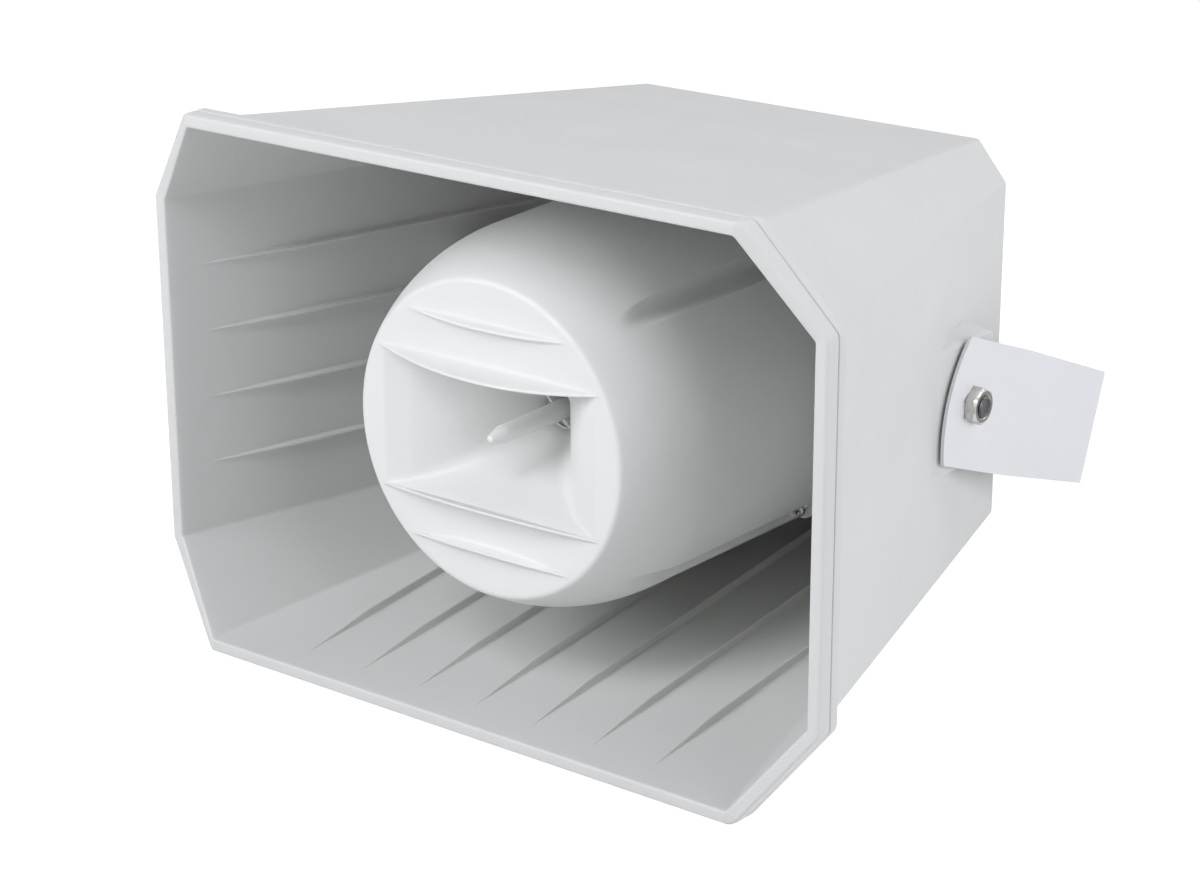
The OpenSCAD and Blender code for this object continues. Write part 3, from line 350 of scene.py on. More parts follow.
FINISHES: dict[str, Finish] = {
    # Grey ABS for outdoors, from a spark-eroded mould: matt, with a soft broad shine.
    "shell_plastic": Finish("grey_moulded_abs", "#d4d5d2", "#d0d1ce", 0.52, 0.04, ior=1.53,
                            grain_mm=1.1, relief_mm=0.035),
    # The same ABS in the bell's own tool, a shade lighter and a little coarser.
    "bell_plastic": Finish("pale_moulded_abs", "#e2e3e0", "#dedfdc", 0.48, 0.04, ior=1.53,
                           grain_mm=1.3, relief_mm=0.06),
    # White polyester powder coat on steel: satin, with a faint orange peel.
    "bracket_paint": Finish("white_powder_coat", "#e4e5e5", "#e0e1e1", 0.36, 0.03,
                            grain_mm=2.2, relief_mm=0.03),
    # A2 stainless nuts: bright ground flats with short scratches, and painted shade on the end faces.
    "stainless": EndShaded("ground_stainless", "#d6d5d2", "#a9a8a5", 0.32, 0.08, 1.0,
                        grain_mm=0.5, relief_mm=0.02, cloud_mm=4.0),
    # Oiled bolt steel, darker than the nut, so that the bolt's end reads as a part of its own.
    "dark_steel": Brushed("oiled_steel", "#67666a", "#4b4a4d", 0.38, 0.08, 1.0,
                          grain_mm=0.5, relief_mm=0.02, cloud_mm=6.0),
    # Brass from the lathe: warm, with fine lines and a tight highlight.
    "insert_brass": Brushed("turned_brass", "#cbb06a", "#b0924c", 0.28, 0.05, 1.0,
                            grain_mm=0.6, relief_mm=0.02, cloud_mm=12.0),
    # Zinc plate on screws and pole plates: silver with a slightly yellow cast.
    "plated_steel": Brushed("zinc_plated_steel", "#c9c6ba", "#b5b2a8", 0.34, 0.06, 1.0,
                            grain_mm=0.7, relief_mm=0.01, cloud_mm=14.0),
    # Sintered ferrite: dark, dull and slightly chalky.
    "ferrite": Finish("sintered_ferrite", "#3b3b3e", "#2d2d30", 0.62, 0.05, grain_mm=0.9,
                      relief_mm=0.08, cloud_mm=20.0),
    # Dark ABS of the treble driver's cover: matt, with an even fine grain.
    "housing_plastic": Finish("dark_moulded_abs", "#4a4c4e", "#424446", 0.5, grain_mm=1.0),
    # Aluminium sheet as rolled: soft lines one way, and a broad highlight.
    "plate_aluminium": Brushed("mill_finish_aluminium", "#c4c6c8", "#b2b4b8", 0.36, 0.05, 1.0,
                               grain_mm=0.8, relief_mm=0.01, cloud_mm=30.0),
    # Silicon steel sheets, stacked and varnished: each sheet's edge is a line of its own.
    "lamination": Banded("stacked_core_steel", "#6c6e70", "#5c5e60", 0.4, metallic=1.0,
                         relief_mm=0.1, cloud_mm=20.0, band_mm=2.0, gap="#303234"),
    # Enamelled wire: warm copper, and each turn catches its own light.
    "coil_copper": Banded("enamelled_copper", "#b8723a", "#a4602c", 0.3, metallic=1.0,
                          relief_mm=0.15, cloud_mm=15.0, band_mm=2.4, gap="#4a2410"),
    # Amber tape round the transformer's winding: smooth, slightly wavy and shiny.
    "coil_tape": Finish("polyester_winding_tape", "#cca552", "#bf9642", 0.3, grain_mm=5.0,
                        relief_mm=0.1, cloud_mm=12.0),
    # Solder mask on fibreglass: deep green under a thin gloss.
    "board_green": Finish("solder_masked_fibreglass", "#3c6e4c", "#346244", 0.35, grain_mm=1.5,
                          relief_mm=0.02, cloud_mm=8.0, coat=0.3),
    # Ceramic case of the power resistor: off-white and dry.
    "board_white": Finish("white_ceramic_case", "#e3e0d6", "#d8d5cb", 0.5, grain_mm=0.6,
                          cloud_mm=9.0),
    # Film capacitors: blue under a gloss, with a slight wave.
    "film_blue": Finish("blue_capacitor_film", "#37527e", "#2f476e", 0.3, grain_mm=3.0,
                        relief_mm=0.05, cloud_mm=10.0, coat=0.4),
    # Charcoal ABS of the baffle: matt, and coarser than the driver's cover.
    "baffle_plastic": Finish("charcoal_moulded_abs", "#57595c", "#4e5053", 0.5, grain_mm=1.2,
                             relief_mm=0.05),
    # Stoved enamel on the pressed basket: a satin dark grey.
    "basket_paint": Finish("grey_stoved_enamel", "#4c4e50", "#444648", 0.38, grain_mm=1.8),
    # EPDM: near black, and dull enough to lose its highlights.
    "gasket_rubber": Finish("epdm_rubber", "#202022", "#18181a", 0.7, grain_mm=0.7,
                            relief_mm=0.05, cloud_mm=10.0),
    # Butyl rubber: near black, with a faint soft shine on its roll.
    "surround_rubber": Finish("butyl_rubber", "#1c1c1e", "#161618", 0.55, grain_mm=0.9,
                              relief_mm=0.04, cloud_mm=12.0),
    # Treated cloth: amber, and its weave breaks the light into small squares.
    "spider_cloth": Woven("resin_treated_cloth", "#c9a23f", "#b88f32", 0.8, relief_mm=0.25,
                          cloud_mm=15.0),
    # Polypropylene cone, injected: smooth with a slight sheen.
    "cone_plastic": Finish("moulded_polypropylene", "#323234", "#2a2a2c", 0.42, grain_mm=1.6,
                           relief_mm=0.03),
    # Formed titanium foil, thin and slightly satin.
    "dome_film": Finish("formed_titanium_foil", "#a19e9a", "#8f8c88", 0.34, metallic=1.0,
                        grain_mm=1.5, relief_mm=0.01, cloud_mm=6.0),
    # Glass-filled nylon of the gland: mid grey, with a dry surface.
    "gland_nylon": Finish("grey_glass_filled_nylon", "#9b9ea2", "#909397", 0.48, grain_mm=0.6,
                          relief_mm=0.04, cloud_mm=10.0),
}


class Palette:
    """Makes each finish once, and hands it out by its slot in the record."""

    def __init__(self) -> None:
        """Starts with no material made."""
        self._made: dict[str, bpy.types.Material] = {}

    def get(self, slot: str) -> bpy.types.Material:
        """Gives the material of a slot.

        Args:
            slot: The record's name for the material slot.

        Returns:
            The material, made on its first use.
        """
        if slot not in self._made:
            self._made[slot] = FINISHES[slot].build()
        return self._made[slot]

    def dress_nodes(self) -> None:
        """Gives every CAD node the finish of its slot in the record."""
        for row in frame["record"]["subparts"]:
            node = frame["nodes"][row["node"]]
            node.data.materials.clear()
            node.data.materials.append(self.get(row["material_slot"]))


# Mesh tools


def add_object(name: str, data: bpy.types.ID) -> bpy.types.Object:
    """Puts an object into the scene.

    Args:
        name: The object's name.
        data: Its mesh, lamp or camera.

    Returns:
        The object.
    """
    made = bpy.data.objects.new(name, data)
    bpy.context.scene.collection.objects.link(made)
    return made


def sweep(bm: Mesh, stations: Sequence[Sequence[Point]], closed: bool = True, caps: bool = False) -> None:
    """Extrudes a line or loop of vertices through a row of stations.

    Args:
        bm: The mesh that gets the faces.
        stations: Points of the line at each station, all of one length.
        closed: Whether the line is a loop.
        caps: Whether the first and last loops get a face.
    """
    line = [bm.verts.new(p) for p in stations[0]]
    pairs = list(zip(line, line[1:])) + ([(line[-1], line[0])] if closed else [])
    edges = [bm.edges.new(pair) for pair in pairs]
    if caps:
        bm.faces.new(line)
    for points in stations[1:]:
        made = bmesh.ops.extrude_edge_only(bm, edges=edges)["geom"]
        fresh = {v for v in made if isinstance(v, bmesh.types.BMVert)}
        edges = [e for e in made if isinstance(e, Edge) and set(e.verts) <= fresh]
        line = [next(e.other_vert(v) for e in v.link_edges if e.other_vert(v) in fresh) for v in line]
        for vert, point in zip(line, points):
            vert.co = point
    if caps:
        bm.faces.new(line)


def merge_in(bm: Mesh, part: Mesh, mirror_x: bool = False) -> None:
    """Adds one mesh to another and frees it.

    Args:
        bm: The mesh that grows.
        part: The mesh that is added.
        mirror_x: Adds it once more, mirrored left to right.
    """
    carrier = bpy.data.meshes.new("carrier")
    part.to_mesh(carrier)
    bm.from_mesh(carrier)
    if mirror_x:
        bmesh.ops.scale(part, verts=part.verts[:], vec=(-1, 1, 1))
        bmesh.ops.reverse_faces(part, faces=part.faces[:])
        part.to_mesh(carrier)
        bm.from_mesh(carrier)
    part.free()
    bpy.data.meshes.remove(carrier)


def face_out(bm: Mesh, towards: Point | None = None) -> None:
    """Welds a mesh and turns its faces outwards.

    Args:
        bm: The mesh.
        towards: For an open sheet, the way that its faces look on the whole.
    """
    bmesh.ops.remove_doubles(bm, verts=bm.verts[:], dist=WELD)
    bmesh.ops.recalc_face_normals(bm, faces=bm.faces[:])
    if towards is None:
        wrong = bm.calc_volume(signed=True) < 0
    else:
        wrong = sum(f.normal.dot(Vector(towards)) * f.calc_area() for f in bm.faces) < 0
    if wrong:
        bmesh.ops.reverse_faces(bm, faces=bm.faces[:])


def bevel(bm: Mesh, edges: Iterable[Edge], offset: float, segments: int = 3) -> None:
    """Rounds edges over."""
    bmesh.ops.bevel(bm, geom=list(edges), offset=offset, offset_type="OFFSET", segments=segments,
                    profile=0.5, affect="EDGES", clamp_overlap=True, material=-1)


def sharp_edges(bm: Mesh, angle: float = 30.0) -> list[Edge]:
    """Lists the edges where two faces meet at more than an angle in degrees."""
    return [e for e in bm.edges if len(e.link_faces) == 2 and e.calc_face_angle() > radians(angle)]


def turn_mesh(bm: Mesh, angle: float, axis: str) -> None:
    """Turns a whole mesh round an axis through the origin, by an angle in degrees."""
    bmesh.ops.rotate(bm, verts=bm.verts[:], cent=(0, 0, 0), matrix=Matrix.Rotation(radians(angle), 3, axis))


def cut_block(low: Point, high: Point, planes: Sequence[tuple[Point, Point]] = ()) -> Mesh:
    """Makes a box and saws it along planes.

    Args:
        low: The box's lowest corner.
        high: The box's highest corner.
        planes: A point on each plane, and the way to the side that falls off.

    Returns:
        The closed mesh.
    """
    bm = bmesh.new()
    size = [b - a for a, b in zip(low, high)]
    middle = [(a + b) / 2 for a, b in zip(low, high)]
    bmesh.ops.create_cube(bm, size=1.0, matrix=Matrix.Translation(middle) @ Matrix.Diagonal((*size, 1)))
    for point, away in planes:
        cut = bmesh.ops.bisect_plane(bm, geom=bm.verts[:] + bm.edges[:] + bm.faces[:],
                                     plane_co=point, plane_no=away, clear_outer=True)
        rim = [g for g in cut["geom_cut"] if isinstance(g, Edge)]
        if rim:
            bmesh.ops.contextual_create(bm, geom=rim)
    face_out(bm)
    return bm


def rod(start: Point, end: Point, radius: float, soft: float, far: float | None = None) -> Mesh:
    """Makes a round bar with soft ends.

    Args:
        start: Middle of the first end.
        end: Middle of the second end.
        radius: Radius at the first end.
        soft: Width of the edge rounding.
        far: Radius at the second end, where it differs.

    Returns:
        The closed mesh.
    """
    bm = bmesh.new()
    along = Vector(end) - Vector(start)
    turn = Vector((0, 0, 1)).rotation_difference(along).to_matrix().to_4x4()
    place = Matrix.Translation((Vector(start) + Vector(end)) / 2) @ turn
    bmesh.ops.create_cone(bm, cap_ends=True, segments=64, radius1=radius,
                          radius2=radius if far is None else far, depth=along.length, matrix=place)
    bevel(bm, sharp_edges(bm, 50), soft)
    return bm


def turned(profile: Sequence[Flat], steps: int) -> Mesh:
    """Spins an outline once round the horn's axis.

    Args:
        profile: Radius and depth of each point.
        steps: Number of faces round the axis.

    Returns:
        The mesh, which is closed where the outline is.
    """
    bm = bmesh.new()
    verts = [bm.verts.new((r, y, 0.0)) for r, y in profile]
    edges = [bm.edges.new(pair) for pair in zip(verts, verts[1:])]
    bmesh.ops.spin(bm, geom=verts + edges, cent=(0, 0, 0), axis=(0, 1, 0), angle=2 * pi,
                   steps=steps, use_merge=True)
    face_out(bm)
    return bm


def make_piece(name: str, bm: Mesh, body: Body, slot: str, palette: Palette,
               stands_for: Sequence[str], crease: float = 32.0) -> None:
    """Turns a mesh in millimetres into a finished piece.

    Args:
        name: The piece's name.
        bm: Its mesh, which is freed.
        body: The body that it rides on.
        slot: The record's material slot.
        palette: Where its finish comes from.
        stands_for: The CAD nodes that it replaces.
        crease: Angle in degrees from which an edge is drawn sharp.
    """
    bmesh.ops.scale(bm, verts=bm.verts[:], vec=(MM, MM, MM))
    mesh = bpy.data.meshes.new(name)
    bm.to_mesh(mesh)
    bm.free()
    mesh.polygons.foreach_set("use_smooth", [True] * len(mesh.polygons))
    mesh.set_sharp_from_angle(angle=radians(crease))
    mesh.materials.append(palette.get(slot))
    made = add_object(name, mesh)
    weighted = made.modifiers.new("even_shading", "WEIGHTED_NORMAL")
    weighted.keep_sharp = True
    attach(made, body.value)
    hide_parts(*stands_for)
    LOG.info("%s: %d faces on %s", name, len(mesh.polygons), body.value)


# Outlines


def crossing(a: float, reach_a: float, b: float, reach_b: float) -> Flat:
    """Finds where two lines cross.

    Args:
        a: Angle of the first line's normal, in radians.
        reach_a: The first line's distance from the origin.
        b: Angle of the second line's normal, in radians.
        reach_b: The second line's distance from the origin.

    Returns:
        The point that they share.
    """
    det = sin(b - a)
    return ((reach_a * sin(b) - reach_b * sin(a)) / det, (reach_b * cos(a) - reach_a * cos(b)) / det)


def curve(start: Flat, pull: Flat, end: Flat, t: float) -> Flat:
    """Gives a point of a curve that leaves its start, and meets its end, aimed at a third point."""
    return tuple((1 - t) ** 2 * a + 2 * t * (1 - t) * b + t * t * c for a, b, c in zip(start, pull, end))


def round_corner(x: float, z: float, half: Flat, radius: float) -> Flat:
    """Moves a point of a rectangle's edge onto its rounded corner.

    Args:
        x: Place across the rectangle.
        z: Place up the rectangle.
        half: Half its width and half its height.
        radius: Rounding of its corners.

    Returns:
        The point, moved where it lies in a corner.
    """
    over_x, over_z = abs(x) - half[0] + radius, abs(z) - half[1] + radius
    if over_x <= 0 or over_z <= 0:
        return x, z
    scale = radius / hypot(over_x, over_z)
    return (copysign(half[0] - radius + over_x * scale, x), copysign(half[1] - radius + over_z * scale, z))


@dataclass(frozen=True)
class Section:
    """A rounded eight-sided outline.

    Attributes:
        x: Half width.
        z: Half height.
        d: Distance of the corner faces from the axis.
        lean: Angle of the corner faces, in degrees.
        radius: Rounding of the eight corners.
    """

    x: float
    z: float
    d: float
    lean: float
    radius: float

    def points(self, steps: int = 5) -> list[Flat]:
        """Lists the outline's points.

        Args:
            steps: Number of steps round each corner.

        Returns:
            X and Z of each point, once round.
        """
        turns = [0, self.lean, 90, 180 - self.lean, 180, 180 + self.lean, 270, 360 - self.lean, 360]
        reach = [self.x, self.d, self.z, self.d] * 2 + [self.x]
        listed = []
        for k in range(8):
            a, b = radians(turns[k]), radians(turns[k + 1])
            middle = crossing(a, reach[k] - self.radius, b, reach[k + 1] - self.radius)
            for i in range(steps + 1):
                t = a + (b - a) * i / steps
                listed.append((middle[0] + self.radius * cos(t), middle[1] + self.radius * sin(t)))
        return listed


# The horn's shell


@dataclass
class HornShell:
    """The one-piece moulded horn: walls, rim, ribs, side pads and pillars.

    Attributes:
        mouth_w, mouth_h: Width and height of the mouth's opening.
        cut_x: Width that each cut corner takes from the mouth.
        lean: Angle of the cut corners, in degrees.
        setback: How far the mouth's side edges lie behind its top and bottom.
        mouth_wall: Thickness of the walls at the mouth.
        depth: From the mouth's front to the back of the rear wall.
        rear_w, rear_h: Width and height of the rear.
        rear_cut_x: Width that each cut corner takes from the rear.
        rear_wall: Thickness of the rear wall, and of the others there.
        rim_w: How far the rim stands out from the opening.
        corner_in, corner_deep: Rounding between the walls inside, at the mouth and at the rear.
        corner_out, corner_rear: The same outside.
        rear_soft, floor_soft: Rounding of the rear wall's edge, outside and inside.
        side_ribs: Number, spacing and first depth of the ribs on each side wall.
        top_ribs: The same for the top and for the bottom.
        rib_rise: Length over which a rib rises to its full height.
        rib_tip: Share of its width that a rib starts with.
        pad_x: Distance of the pads' faces from the middle.
        pad_half: Half height of a pad's face.
        pad_reach: How far a pad's face reaches before and behind the pivot.
        pad_draft: How far a pad spreads over its depth.
        pad_deep: Depth of a pad, down to inside the wall.
        pad_slant: Where a pad's rear corners start behind the pivot, and how far they come in.
        pad_soft: Rounding of a pad's edges.
        boss_x: Both ends of the insert's boss, measured in from the pad's face.
        boss_r: Radius of the boss.
        pillar_y: Depth at which the pillars under the bell's screws start.
        pillar_r: Radius of a pillar at its start and at its end.
        inner_stops: Depths of the loops on the walls inside, from the rear.
        outer_stops: Depths of the loops on the walls outside, from the front.
        rim_foot: Depth of the loops where the rim meets the wall, and their distance off it.
        rim_profile: The rim from its inner edge round to its back: distance behind the front,
            and distance out from the opening. Between 11 and 12 mm it has a thin groove.
        rib_half: Half a rib's outline: distance from its middle, and height off the wall.
    """

    mouth_w: float = 500.0
    mouth_h: float = 346.0
    cut_x: float = 42.5
    lean: float = 39.9
    setback: float = 18.6
    mouth_wall: float = 5.6
    depth: float = 385.6
    rear_w: float = 314.2
    rear_h: float = 282.8
    rear_cut_x: float = 21.8
    rear_wall: float = 4.8
    rim_w: float = 9.0
    corner_in: float = 3.2
    corner_deep: float = 5.2
    corner_out: float = 8.0
    corner_rear: float = 5.0
    rear_soft: float = 4.0
    floor_soft: float = 3.0
    side_ribs: tuple[int, float, float] = (4, 45.7, 43.0)
    top_ribs: tuple[int, float, float] = (7, 46.7, 18.0)
    rib_rise: float = 62.0
    rib_tip: float = 0.3
    pad_x: float = 196.8
    pad_half: float = 41.5
    pad_reach: Flat = (44.0, 30.0)
    pad_draft: float = 14.0
    pad_deep: float = 26.0
    pad_slant: Flat = (6.0, 12.0)
    pad_soft: float = 1.6
    boss_x: Flat = (21.0, 8.0)
    boss_r: float = 16.0
    pillar_y: float = 254.3
    pillar_r: Flat = (7.4, 8.6)
    inner_stops: tuple[float, ...] = (330, 240, 160, 90, 40, 15, 4)
    outer_stops: tuple[float, ...] = (26, 60, 130, 210, 300)
    rim_foot: tuple[Flat, ...] = ((20.3, 0.6), (20.8, 0.2), (21.8, 0.0))
    rim_profile: tuple[Flat, ...] = (
        (1.7, 0.0), (1.1, 0.12), (0.55, 0.5), (0.2, 1.05), (0.0, 1.8), (0.0, 6.4), (0.15, 7.3),
        (0.6, 8.0), (1.3, 8.45), (2.3, 8.65), (6.0, 8.8), (10.4, 8.8), (10.8, 8.7), (11.1, 8.4),
        (11.2, 7.8), (11.45, 7.6), (11.7, 7.8), (11.8, 8.5), (12.1, 8.85), (12.8, 9.0), (14.8, 9.0),
        (17.6, 9.0), (18.7, 8.8), (19.5, 8.2), (20.0, 7.3), (20.1, 6.5))
    rib_half: tuple[Flat, ...] = (
        (2.4, -0.5), (1.9, 0.02), (1.6, 0.16), (1.4, 0.5), (1.28, 1.3), (1.15, 3.9), (1.03, 4.4),
        (0.75, 4.8), (0.35, 5.0))

    def __post_init__(self) -> None:
        """Works out the tapers from the sizes."""
        self.rear_inside = self.depth - self.rear_wall
        self.flat_x = self.mouth_w / 2 - self.cut_x
        turn = radians(self.lean)
        self.mouth_d = self.flat_x * cos(turn) + self.mouth_h / 2 * sin(turn)
        self.rear_d = (self.rear_w / 2 - self.rear_cut_x) * cos(turn) + self.rear_h / 2 * sin(turn)
        run = self.depth - self.setback
        self.slope_out = (self.mouth_w / 2 + self.mouth_wall - self.rear_w / 2) / run
        self.slope_in = (self.mouth_w / 2 + self.rear_wall - self.rear_w / 2) / (run - self.rear_wall)
        slope_d = (self.mouth_d - self.rear_d + self.rear_wall) / self.rear_inside
        side_z = (self.mouth_d - slope_d * self.setback - self.mouth_w / 2 * cos(turn)) / sin(turn)
        self.rim_lean = degrees(atan2(self.cut_x, self.mouth_h / 2 - side_z))
        turn = radians(self.rim_lean)
        self.rim_d = self.flat_x * cos(turn) + self.mouth_h / 2 * sin(turn)

    def swept(self, x: float) -> float:
        """Gives how far the mouth's edge lies back at a distance from the middle."""
        return min(max((abs(x) - self.flat_x) / self.cut_x, 0.0), 1.0) * self.setback

    def wall_x(self, y: float) -> float:
        """Gives the inner half width at a depth."""
        return self.mouth_w / 2 - self.slope_in * (y - self.setback)

    def wall_z(self, y: float) -> float:
        """Gives the inner half height at a depth."""
        narrower = self.rear_h / 2 - self.rear_wall - self.mouth_h / 2
        return self.mouth_h / 2 + narrower * y / self.rear_inside

    def inner(self, y: float, grow: float) -> Section:
        """Gives the walls' outline inside.

        Args:
            y: Depth behind the mouth's front.
            grow: How far the outline lies further out than the wall.

        Returns:
            The outline.
        """
        t = y / self.rear_inside
        d = self.mouth_d + (self.rear_d - self.rear_wall - self.mouth_d) * t
        radius = self.corner_in + t * (self.corner_deep - self.corner_in)
        return Section(self.wall_x(y) + grow, self.wall_z(y) + grow, d + grow, self.lean, radius)

    def outer(self, y: float, grow: float) -> Section:
        """Gives the walls' outline outside.

        Args:
            y: Depth behind the mouth's front.
            grow: How far the outline lies further out than the wall.

        Returns:
            The outline.
        """
        t = y / self.depth
        front_x = self.mouth_w / 2 + self.mouth_wall + self.slope_out * self.setback
        z = self.mouth_h / 2 + self.mouth_wall
        d = self.mouth_d + self.mouth_wall
        return Section(front_x - self.slope_out * y + grow, z + (self.rear_h / 2 - z) * t + grow,
                       d + (self.rear_d - d) * t + grow, self.lean,
                       self.corner_out + (self.corner_rear - self.corner_out) * t)

    def wall_ring(self, outline: Callable[[float, float], Section], deep: float,
                  grow: float = 0.0) -> list[Point]:
        """Lists a loop on a wall: flat at the rear, and following the mouth at the front.

        Args:
            outline: Gives the wall's outline for a depth and a distance off it.
            deep: Depth of the loop's top and bottom.
            grow: How far the loop lies further out than the wall.

        Returns:
            The loop's points.
        """
        ring = []
        for i in range(len(outline(deep, grow).points())):
            y = deep
            # The depth hangs on the width and the width on the depth, so both are found in turn.
            for _ in range(4):
                x, z = outline(y, grow).points()[i]
                y = deep + self.swept(x) * max(1 - deep / self.rear_inside, 0.0)
            ring.append((x, y, z))
        return ring

    def rim_ring(self, back: float, out: float) -> list[Point]:
        """Lists a loop on the rim.

        Args:
            back: Distance behind the rim's front.
            out: Distance out from the opening.

        Returns:
            The loop's points.
        """
        radius = self.corner_in + (self.corner_out - self.corner_in) * out / self.rim_w
        shape = Section(self.mouth_w / 2 + out, self.mouth_h / 2 + out, self.rim_d + out, self.rim_lean,
                        radius)
        return [(x, back + self.swept(x), z) for x, z in shape.points()]

    def walls(self) -> Mesh:
        """Makes the walls, the rim and the rear as one closed skin.

        Returns:
            The closed mesh.
        """
        rings = []
        soft = self.floor_soft
        for a in (0, 30, 60, 90):
            rings.append(self.wall_ring(self.inner, self.rear_inside - soft + soft * cos(radians(a)),
                                        -soft * (1 - sin(radians(a)))))
        rings += [self.wall_ring(self.inner, deep) for deep in self.inner_stops]
        rings += [self.rim_ring(back, out) for back, out in self.rim_profile]
        rings += [self.wall_ring(self.outer, deep, off) for deep, off in self.rim_foot]
        rings += [self.wall_ring(self.outer, deep) for deep in self.outer_stops]
        soft = self.rear_soft
        for a in (0, 22, 45, 68, 90):
            rings.append(self.wall_ring(self.outer, self.depth - soft * (1 - sin(radians(a))),
                                        -soft * (1 - cos(radians(a)))))
        bm = bmesh.new()
        sweep(bm, rings, caps=True)
        face_out(bm)
        return bm

    def flat_end(self, across: float) -> float:
        """Gives the depth at which the top wall has narrowed to a place across it.

        Args:
            across: Distance from the middle.

        Returns:
            The depth, at most the rear wall's, and a little inside the wall that is met there.
        """
        turn = radians(self.lean)
        far = (self.rear_d - self.rear_wall - (self.rear_h / 2 - self.rear_wall) * sin(turn)) / cos(turn)
        end = self.rear_inside * (self.flat_x - abs(across)) / (self.flat_x - far)
        return min(end, self.rear_inside) + SINK

    def rib(self, place: Callable[[float, float, float], Point], start: float, end: float) -> Mesh:
        """Makes one rib that rises slowly out of a wall.

        Args:
            place: Turns depth, distance across the rib and height off the wall into a point.
            start: Depth at which the rib begins.
            end: Depth at which it ends inside a wall.

        Returns:
            The closed mesh.
        """
        outline = [(-u, h) for u, h in self.rib_half] + list(reversed(self.rib_half))
        stations = []
        # The sections lie close together where the rib begins, and far apart where it runs on.
        for along in (0, 1.5, 4, 9, 18, 30, 45, self.rib_rise, 120, 220, end - start):
            t = min(along / self.rib_rise, 1.0)
            narrow = self.rib_tip + (1 - self.rib_tip) * sqrt(t)
            stations.append([place(start + along, u * narrow, h * t if h > 0 else h) for u, h in outline])
        bm = bmesh.new()
        sweep(bm, stations, caps=True)
        face_out(bm)
        return bm

    def add_ribs(self, bm: Mesh) -> None:
        """Adds the ribs on all four walls.

        Args:
            bm: The mesh that gets them.
        """
        count, gap, start = self.side_ribs
        for i in range(count):
            height = (i - (count - 1) / 2) * gap
            for side in (-1, 1):
                merge_in(bm, self.rib(lambda y, u, h: (side * (self.wall_x(y) - h), y, height + u),
                                      start, self.rear_inside + SINK))
        count, gap, start = self.top_ribs
        for i in range(count):
            across = (i - (count - 1) / 2) * gap
            for side in (-1, 1):
                merge_in(bm, self.rib(lambda y, u, h: (across + u, y, side * (self.wall_z(y) - h)),
                                      start, self.flat_end(across)))

    def side_pad(self) -> Mesh:
        """Makes the raised pad that the bracket's right arm turns on.

        Returns:
            The closed mesh.
        """
        draft, deep, root = self.pad_draft, self.pad_deep, self.pad_x - self.pad_deep
        front, back = PIVOT_Y - self.pad_reach[0], PIVOT_Y + self.pad_reach[1]
        low, slant_y = self.pad_half + draft, PIVOT_Y + self.pad_slant[0]
        run, rise = back + draft - slant_y, draft + self.pad_slant[1]
        planes = []
        for side in (-1, 1):
            planes.append(((self.pad_x, 0, side * self.pad_half), (draft, 0, side * deep)))
            planes.append(((0, slant_y, side * low), (0, rise, side * run)))
        planes.append(((self.pad_x, back, 0), (draft, deep, 0)))
        bm = cut_block((root, front, -low), (self.pad_x, back + draft, low), planes)
        # All edges are rounded but those of the face inside the wall.
        edges = [e for e in sharp_edges(bm, 5) if all(v.co.x > root + 1 for v in e.verts)
                 or abs(e.verts[0].co.x - e.verts[1].co.x) > 5]
        bevel(bm, edges, self.pad_soft, 4)
        return bm

    def build(self, palette: Palette) -> None:
        """Makes the shell and lets it ride on the horn.

        Args:
            palette: Where its finish comes from.
        """
        bm = self.walls()
        self.add_ribs(bm)
        merge_in(bm, self.side_pad(), mirror_x=True)
        ends = [(self.pad_x - inward, PIVOT_Y, 0) for inward in self.boss_x]
        merge_in(bm, rod(*ends, self.boss_r, soft=1.0), mirror_x=True)
        aside = SCREW_R * cos(radians(45))
        for x in (-aside, aside):
            for z in (-aside, aside):
                merge_in(bm, rod((x, self.pillar_y, z), (x, self.rear_inside + SINK, z),
                                 self.pillar_r[0], soft=0.6, far=self.pillar_r[1]))
        make_piece("horn_body", bm, Body.HORN, "shell_plastic", palette, ["horn_shell"])


# The bell


